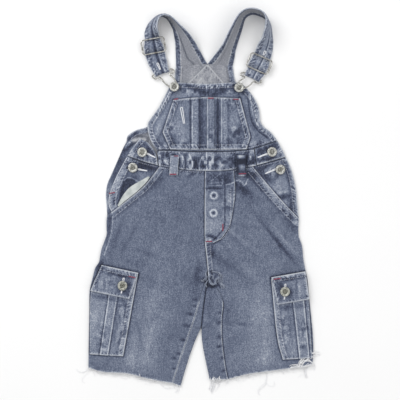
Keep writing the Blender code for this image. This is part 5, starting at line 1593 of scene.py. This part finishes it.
def slider_outline():
    """A rectangle with round corners, in even steps."""
    angle = np.radians(np.arange(0, 360, 7.5) + 1e-3)
    quarter = np.floor(angle / (np.pi / 2))
    corner_x = np.where((quarter == 0) | (quarter == 3), 1, -1) * (SLIDER_WIDTH / 2 - SLIDER_CORNER)
    corner_y = np.where(quarter < 2, 1, -1) * (SLIDER_HEIGHT / 2 - SLIDER_CORNER)
    plan = np.column_stack([corner_x + SLIDER_CORNER * np.cos(angle),
                            corner_y + SLIDER_CORNER * np.sin(angle), 0 * angle])
    return at_lengths(np.vstack([plan, plan[:1]]), np.linspace(0, 1, SLIDER_POINTS + 1))[:-1]


bar_reach = SLIDER_WIDTH / 2 - BAR_SHORT
bar = np.column_stack([np.linspace(-bar_reach, bar_reach, 9), np.zeros(9), np.zeros(9)])
for hand, (x, y, turn) in SLIDERS.items():
    c, s = math.cos(math.radians(turn)), math.sin(math.radians(turn))
    turned, middle = np.array([[c, s, 0], [-s, c, 0], [0, 0, 1]]), (x, y, SLIDER_LIFT)
    points, quads = closed_wire(slider_outline() @ turned + middle)
    rod, walls, tips = threads((bar @ turned)[None] + middle, BAR_THINNER * WIRE_RADIUS, WIRE_SIDES)
    show(f"slider_{hand}_wire", "wire_metal", wire_metal, f"slider_{hand}",
         np.vstack([points, rod]), np.vstack([quads, walls + len(points)]), tips + len(points))
print("sliders:", len(SLIDERS))

# %% Hooks
half = np.array(HOOK_HALF)
hook_plan = np.vstack([half, half[-2:0:-1] * (-1, 1)])
hook_plan = smooth(np.vstack([hook_plan, hook_plan[:1]]), HOOK_POINTS + 1)[:-1]
for hand in STRAPS:
    x, y, _, _, heading, _ = STRAPS[hand][-1]
    bar = np.array([x, y])
    button_x, button_y, kind = BUTTONS[f"bib_{hand}"]
    towards = np.array([button_x, button_y]) - bar
    distance = np.linalg.norm(towards)
    dense = hook_plan * (1, (distance + SHANK_RADIUS + WIRE_RADIUS + HOOK_SLACK) / half[-1, 1])
    across = -np.array([math.cos(math.radians(heading)), math.sin(math.radians(heading))])
    plan = bar + dense[:, :1] * across + dense[:, 1:] * towards / distance
    keyhole = SURFACES[kind](plan[:, 0], plan[:, 1]) + GAP + WIRE_RADIUS
    share = ease(dense[:, 1], 0, 20)
    height = HOOK_BAR_LIFT + (keyhole - HOOK_BAR_LIFT) * share
    show(f"hook_{hand}_wire", "wire_metal", wire_metal, f"hook_{hand}",
         *closed_wire(raised(plan, height)))
print("hooks:", len(STRAPS))

# %% [markdown]
# ## Buttons
#
# Turned metal buttons with a raised ring and a hollow middle, each on its shank and square to
# the cloth under it.

# %% Turned buttons
BUTTON_SIDES = 48
# Radius, height above the shank's top, and how much darker the metal is at that ring of the profile.
BUTTON_PROFILE = (
    (1.2, 1.35, 0.7), (1.9, 1.5, 0.3), (2.4, 1.3, 0.7), (2.9, 1, 0.9), (3.4, 0.95, 0.7),
    (3.9, 1.3, 0.2), (4.6, 1.85, 0), (5.4, 2.2, 0), (6.2, 2.35, 0), (7, 2.2, 0), (7.5, 1.8, 0),
    (7.8, 1.2, 0.5), (7.6, 0.6, 0.9), (7, 0.15, 0), (5, 0, 0), (2.8, 0, 0),
)
SHANK_FOOT, MIDDLE_DARKENING = ((2.8, 0, 0), (2, -0.02, 0)), 0.6
for name, (x, y, kind) in BUTTONS.items():
    surface = SURFACES[kind]
    slope_x = float(surface(x + 3.0, y) - surface(x - 3.0, y)) / 6
    slope_y = float(surface(x, y + 3.0) - surface(x, y - 3.0)) / 6
    shank = SHANK_HEIGHT[kind]
    profile = np.array([(r, z + shank, darkening) for r, z, darkening in BUTTON_PROFILE] + [*SHANK_FOOT])
    angle = np.linspace(0, 2 * np.pi, BUTTON_SIDES, endpoint=False)
    flat = np.array([slope_x, slope_y, -1.0])
    up = -flat / np.linalg.norm(flat)
    first = np.cross((0, 1, 0), up)
    first /= np.linalg.norm(first)
    second = np.cross(up, first)
    ring = np.cos(angle)[:, None] * first + np.sin(angle)[:, None] * second
    rings = profile[:, :1, None] * ring[None] + profile[:, 1:2, None] * up
    base = np.array([x, y, float(surface(x, y))])
    points, walls, tips = lofted(rings[None, ::-1] + base, base[None] + up * -0.02,
                                 base[None] + up * (shank + 0.9))
    hollow = np.r_[np.repeat(profile[::-1, 2], BUTTON_SIDES), 0, MIDDLE_DARKENING]
    show(f"button_{name}_metal", "button_metal", brass_metal if kind == "flap" else button_metal,
         f"button_{name}", points, walls, tips, hollow=hollow)
print("buttons:", len(BUTTONS))

# %% [markdown]
# ## Threads
#
# Stitches are small grains of thread that dip into the cloth at both ends. Bar tacks are the
# same grains packed side by side, in red, and buttonholes are edged with white ones.

# %% Stitches
show("topstitching", "denim", pale_thread, "",
     *threads(np.concatenate(rows_of_stitches), THREAD_RADIUS))
print("stitches:", sum(len(row) for row in rows_of_stitches))

# %% Where the bar tacks and buttonholes are
# Piece, the two ends of the tack's middle line, and its width across.
TACKS = (
    ("bib_pocket", (-49, 160.2), (-43, 161.2), 2.4),
    ("bib_pocket", (45.5, 160.6), (53, 160.2), 2.4),
    ("bib_pocket_strip", (5, 162), (13, 162), 2.4), ("belt_loop_left", (-56, 41), (-46, 41), 2.4),
    ("belt_loop_right", (54, 41.6), (65, 42.0), 2.2), ("belt_loop_left", (-49, 70), (-43, 70), 1.6),
    ("hip_facing_left", (-153, 10.5), (-144, 12), 2.2), ("fly_placket", (1.2, -66), (11, -66), 2.2),
    ("fly_placket", (28.4, -38.4), (28.4, -49.3), 2.2),
    ("cargo_flap_left", (-121, -121.2), (-110.5, -123.4), 2.2),
    ("cargo_flap_right", (109, -126), (120, -124.5), 2.2),
)
# Piece, the slot's eye beside the button, its far end, and how wide the stitched slot is.
BUTTONHOLES = (
    ("waist_tab_left", (-92, 74), (-79.8, 68), 0.5),
    ("hip_facing_left", (-106, 49), (-92.6, 46.6), 0.5),
    ("waist_tab_right", (100, 74), (84.2, 68), 0.5),
    ("hip_facing_right", (112, 49), (96.5, 42.2), 0.5),
    ("bib_pocket", (-37.4, 146), (-33.4, 122), 1.9),
    ("cargo_flap_left", (-129.4, -125), (-133, -148), 0.8),
    ("cargo_flap_right", (127.6, -134.5), (126, -157.5), 0.8),
)
print("tacks:", len(TACKS), "buttonholes:", len(BUTTONHOLES) + len(STRAP_LOOKS))

# %% Bar tacks and buttonholes
TACK_PITCH, TACK_THREAD, TACK_LEAN, STRAP_SLOT = 0.62, 0.42, 0.15, 1.3
TACK_ARCH = np.array([-0.2, 0.3, 0.45, 0.3, -0.2])
HOLE_ARCH = np.array([-0.2, 0.35, 0.55, 0.35, -0.2])


def keyhole(eye, end, width, pitch=0.75, reach=0.8):
    """Short grains square to the outline of a slot with a round eye: two rows and an arch."""
    eye, end = np.array(eye, float), np.array(end, float)
    ahead = (end - eye) / length_of([eye, end])
    aside = leftward(ahead)
    angle = np.radians(np.linspace(70, 290, 12))[:, None]
    bulb = eye + (0.6 * width + 0.6) * (np.cos(angle) * ahead + np.sin(angle) * aside)
    path = np.vstack([[end + 0.5 * width * aside], bulb, [end - 0.5 * width * aside]])
    even = at_lengths(path, np.linspace(0, 1, round(length_of(path) / pitch)))
    across = leftward(unit(np.gradient(even, axis=0)))
    return even[:, None] + across[:, None] * np.linspace(-reach, reach, 5)[None, :, None]


def tack(piece, start, end, width):
    """Grains of thread laid across a line, a pitch apart, on a laid piece."""
    start, end = np.array(start, float), np.array(end, float)
    count = max(2, round(length_of([start, end]) / TACK_PITCH))
    middle = start + (end - start) * np.linspace(0, 1, count)[:, None]
    ahead = (end - start) / length_of([start, end])
    lean = leftward(ahead) + TACK_LEAN * ahead
    plan = middle[:, None] + lean * np.linspace(-0.5, 0.5, 5)[None, :, None] * width
    return on_piece(piece, plan, TACK_ARCH)


tacks = np.concatenate([tack(*row) for row in TACKS])
show("bar_tacks", "denim", red_thread, "", *threads(tacks, TACK_THREAD))
holes = [on_piece(piece, keyhole(*slot), HOLE_ARCH) for piece, *slot in BUTTONHOLES]
for hand, look in STRAP_LOOKS.items():
    plan = keyhole(*look["keyhole"], STRAP_SLOT)
    holes.append(raised(plan, on_strap(hand, plan) + HOLE_ARCH))
holes = np.concatenate(holes)
show("buttonhole_stitches", "lining", white_thread, "", *threads(holes, TACK_THREAD))
print("tack and buttonhole grains:", len(tacks) + len(holes))

# %% [markdown]
# ## Raw hems and the crotch
#
# The legs were cut off, so their weft threads hang loose: many short pale ones and a few long
# ones that the wash has curled. Where the four leg seams cross at the crotch the felled edges
# have worn through into a knot of the same threads.

# %% Short threads of the hems
FRAY_SEED, FRAY_COUNT, FRAY_RADIUS, FRAY_ROOT = 11, 520, 0.24, 0.8
rng = np.random.default_rng(FRAY_SEED)
HEMS = {"left": (LEFT_HEM, LEFT_ROLL_HEM), "right": (RIGHT_ROLL_HEM, RIGHT_HEM)}
for hand, stretches in HEMS.items():
    edge_line = side(*stretches, step=2.0)
    at = np.sort(rng.uniform(0, 1, FRAY_COUNT))
    root = at_lengths(edge_line, at)
    ahead = unit(at_lengths(edge_line, np.clip(at + 0.01, 0, 1)) - at_lengths(edge_line, at - 0.01))
    outward = -leftward(ahead)
    reach = rng.gamma(0.8, 2.4, FRAY_COUNT) + 0.8
    lean = rng.normal(0, 0.5, FRAY_COUNT)
    curl = rng.normal(0, 0.6, FRAY_COUNT)
    t = np.linspace(0, 1, 7)
    along = lean[:, None] * t + curl[:, None] * t**2
    out = t * (reach[:, None] + FRAY_ROOT)
    plan = (root - outward * FRAY_ROOT)[:, None] + outward[:, None] * out[..., None]
    plan = plan + ahead[:, None] * (along * reach[:, None])[..., None]
    start = on_back(root[:, 0], root[:, 1] + 2)[:, None] + rng.uniform(0.1, 1.3, FRAY_COUNT)[:, None]
    height = np.maximum(start * (1 - t) ** 0.6, 0.35) + 0.3 * np.sin(np.pi * t)
    show(f"hem_threads_{hand}", "fray", loose_thread, f"hem_fray_{hand}",
         *threads(raised(plan, height), FRAY_RADIUS, 4))
print("short threads:", 2 * FRAY_COUNT)

# %% Routes of the long threads
# Thickness, number of strands, how far they spread, and the route in the plan.
LONG_THREADS = (
    (0.3, 2, 1.0, ((-186, -268), (-190, -273), (-196, -276), (-202, -275), (-206, -271))),
    (0.3, 1, 0.0, ((-184, -268), (-187, -276), (-193, -281), (-197, -288), (-192, -293))),
    (0.28, 2, 1.6, ((-104, -277), (-101, -286), (-93, -289), (-85, -286), (-79, -293))),
    (0.28, 1, 0.0, ((-136, -275), (-134, -283), (-127, -286), (-123, -282))),
    (0.28, 2, 1.0, ((-66, -289), (-68, -297), (-62, -301), (-55, -300))),
    (0.3, 2, 1.2, ((-46, -294), (-43, -302), (-49, -308))),
    (0.34, 16, 4.0, ((12, -284), (11, -293), (10, -300), (8, -305))),
    (0.3, 7, 3.0, ((22, -284), (21, -291), (23, -296))),
    (0.32, 2, 0.8, ((101, -272), (99, -283), (97, -293), (89, -300), (85, -307), (89, -312))),
    (0.3, 1, 0.0, ((97, -292), (104, -298), (111, -296), (110, -290))),
    (0.28, 1, 0.0, ((64, -278), (66, -286), (60, -290))),
    (0.38, 8, 2.6, ((150, -268), (155, -259), (163, -251), (172, -247), (183, -246))),
    (0.38, 5, 2.0, ((171, -261), (163, -266), (158, -273), (161, -284))),
    (0.38, 5, 2.2, ((136, -267), (148, -264), (158, -266), (169, -262))),
    (0.36, 4, 1.8, ((150, -268), (154, -260), (164, -256), (172, -260))),
    (0.32, 2, 1.2, ((171, -260), (176, -265), (174, -273))),
)
# Threads of the worn knot at the crotch, frayed out of its ring and beside it.
KNOT_THREADS = (
    (0.36, 5, 1.3, ((6, -116), (5.8, -124), (8.8, -131.8), (13, -134.8), (16.8, -132),
                    (16.6, -127.4), (21, -123.8))),
    (0.36, 5, 1.6, ((10, -114), (18, -115.4), (22.6, -118), (24.4, -124), (23.2, -130), (28, -139.6))),
    (0.34, 3, 0.9, ((1.8, -113), (0.8, -119), (2.4, -123.4), (-3.6, -128.4), (-7.2, -127))),
    (0.34, 3, 0.8, ((4.4, -127), (2.4, -131), (0.6, -134), (3.2, -139))),
    (0.34, 3, 0.9, ((25, -134), (30, -137), (28.6, -141.6), (25.5, -139))),
    (0.32, 3, 1.8, ((8, -119), (13, -121.4), (12, -126))),
)
print("routes:", len(LONG_THREADS), len(KNOT_THREADS))

# %% Long threads
ROUTE_POINTS, LOOSE_HEIGHT, DRAPE, SWAY = 21, 0.7, 3.0, 0.6
HEM_PLAN = np.vstack([side(LEFT_HEM, LEFT_ROLL_HEM), side(RIGHT_ROLL_HEM, RIGHT_HEM)])


def lie(x, y):
    """The height of a thread: on the front where there is cloth, and down over its edge or hem
    to the table."""
    above_hem = y - np.interp(x, HEM_PLAN[:, 0], HEM_PLAN[:, 1])
    share = ease(np.minimum(inset(x, y), above_hem), -DRAPE, 0)
    return LOOSE_HEIGHT + (on_front(x, y) + 0.2 - LOOSE_HEIGHT) * share


def strands(name, rows, slot, material):
    """Each row's strands swayed about its route by two slow waves, as one mesh."""
    blocks = []
    for thickness, count, spread, route in rows:
        path = smooth(route, ROUTE_POINTS)
        t = np.linspace(0, 1, ROUTE_POINTS)
        sway = rng.normal(0, 1, (count, 2, 3)) * spread
        waves = np.stack([np.ones_like(t), np.sin(3 * t), np.sin(7 * t) * 0.5])
        plan = path + np.einsum("ncw,wt->ntc", sway, waves) * SWAY
        height = lie(plan[..., 0], plan[..., 1]) + rng.uniform(0.0, 0.8, (count, 1))
        blocks.append(threads(raised(plan, height), thickness))
    starts = np.cumsum([0] + [len(points) for points, _, _ in blocks[:-1]])
    show(name, slot, material, "", np.vstack([points for points, _, _ in blocks]),
         np.vstack([walls + at for (_, walls, _), at in zip(blocks, starts)]),
         np.vstack([tips + at for (_, _, tips), at in zip(blocks, starts)]))
    print(f"{name}: {sum(row[1] for row in rows)} strands")


strands("long_threads", LONG_THREADS, "fray", loose_thread)
strands("crotch_threads", KNOT_THREADS, "denim", worn_thread)

# %% [markdown]
# ## The table
#
# A plain pale table carries the garment. It isn't part of it, so it is marked as stage.

# %% Floor and sizes
FLOOR_HALF = 4000.0
corners = np.array([(-1, -1, 0), (1, -1, 0), (1, 1, 0), (-1, 1, 0)]) * (FLOOR_HALF, FLOOR_HALF, 0)
floor = bpy.data.objects.new("floor", mesh_of("floor", corners, np.array([[0, 1, 2, 3]])))
floor_material, tree, shader = new_material("pale_table", 0.9)
place = node(tree, "ShaderNodeTexCoord").outputs["Object"]
shade = ramp_node(tree, noise_node(tree, place, 3.0), ((0.3, (0.87, 0.87, 0.87)),
                                                      (0.7, (0.89, 0.89, 0.89))))
tree.links.new(shade, shader.inputs["Base Color"])
floor.data.materials.append(floor_material)
bpy.context.scene.collection.objects.link(floor)
floor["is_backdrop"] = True

faces = {piece.name: len(piece.data.polygons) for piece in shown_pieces()}
print("pieces:", len(faces), "faces:", sum(faces.values()), "most:", max(faces, key=faces.get))
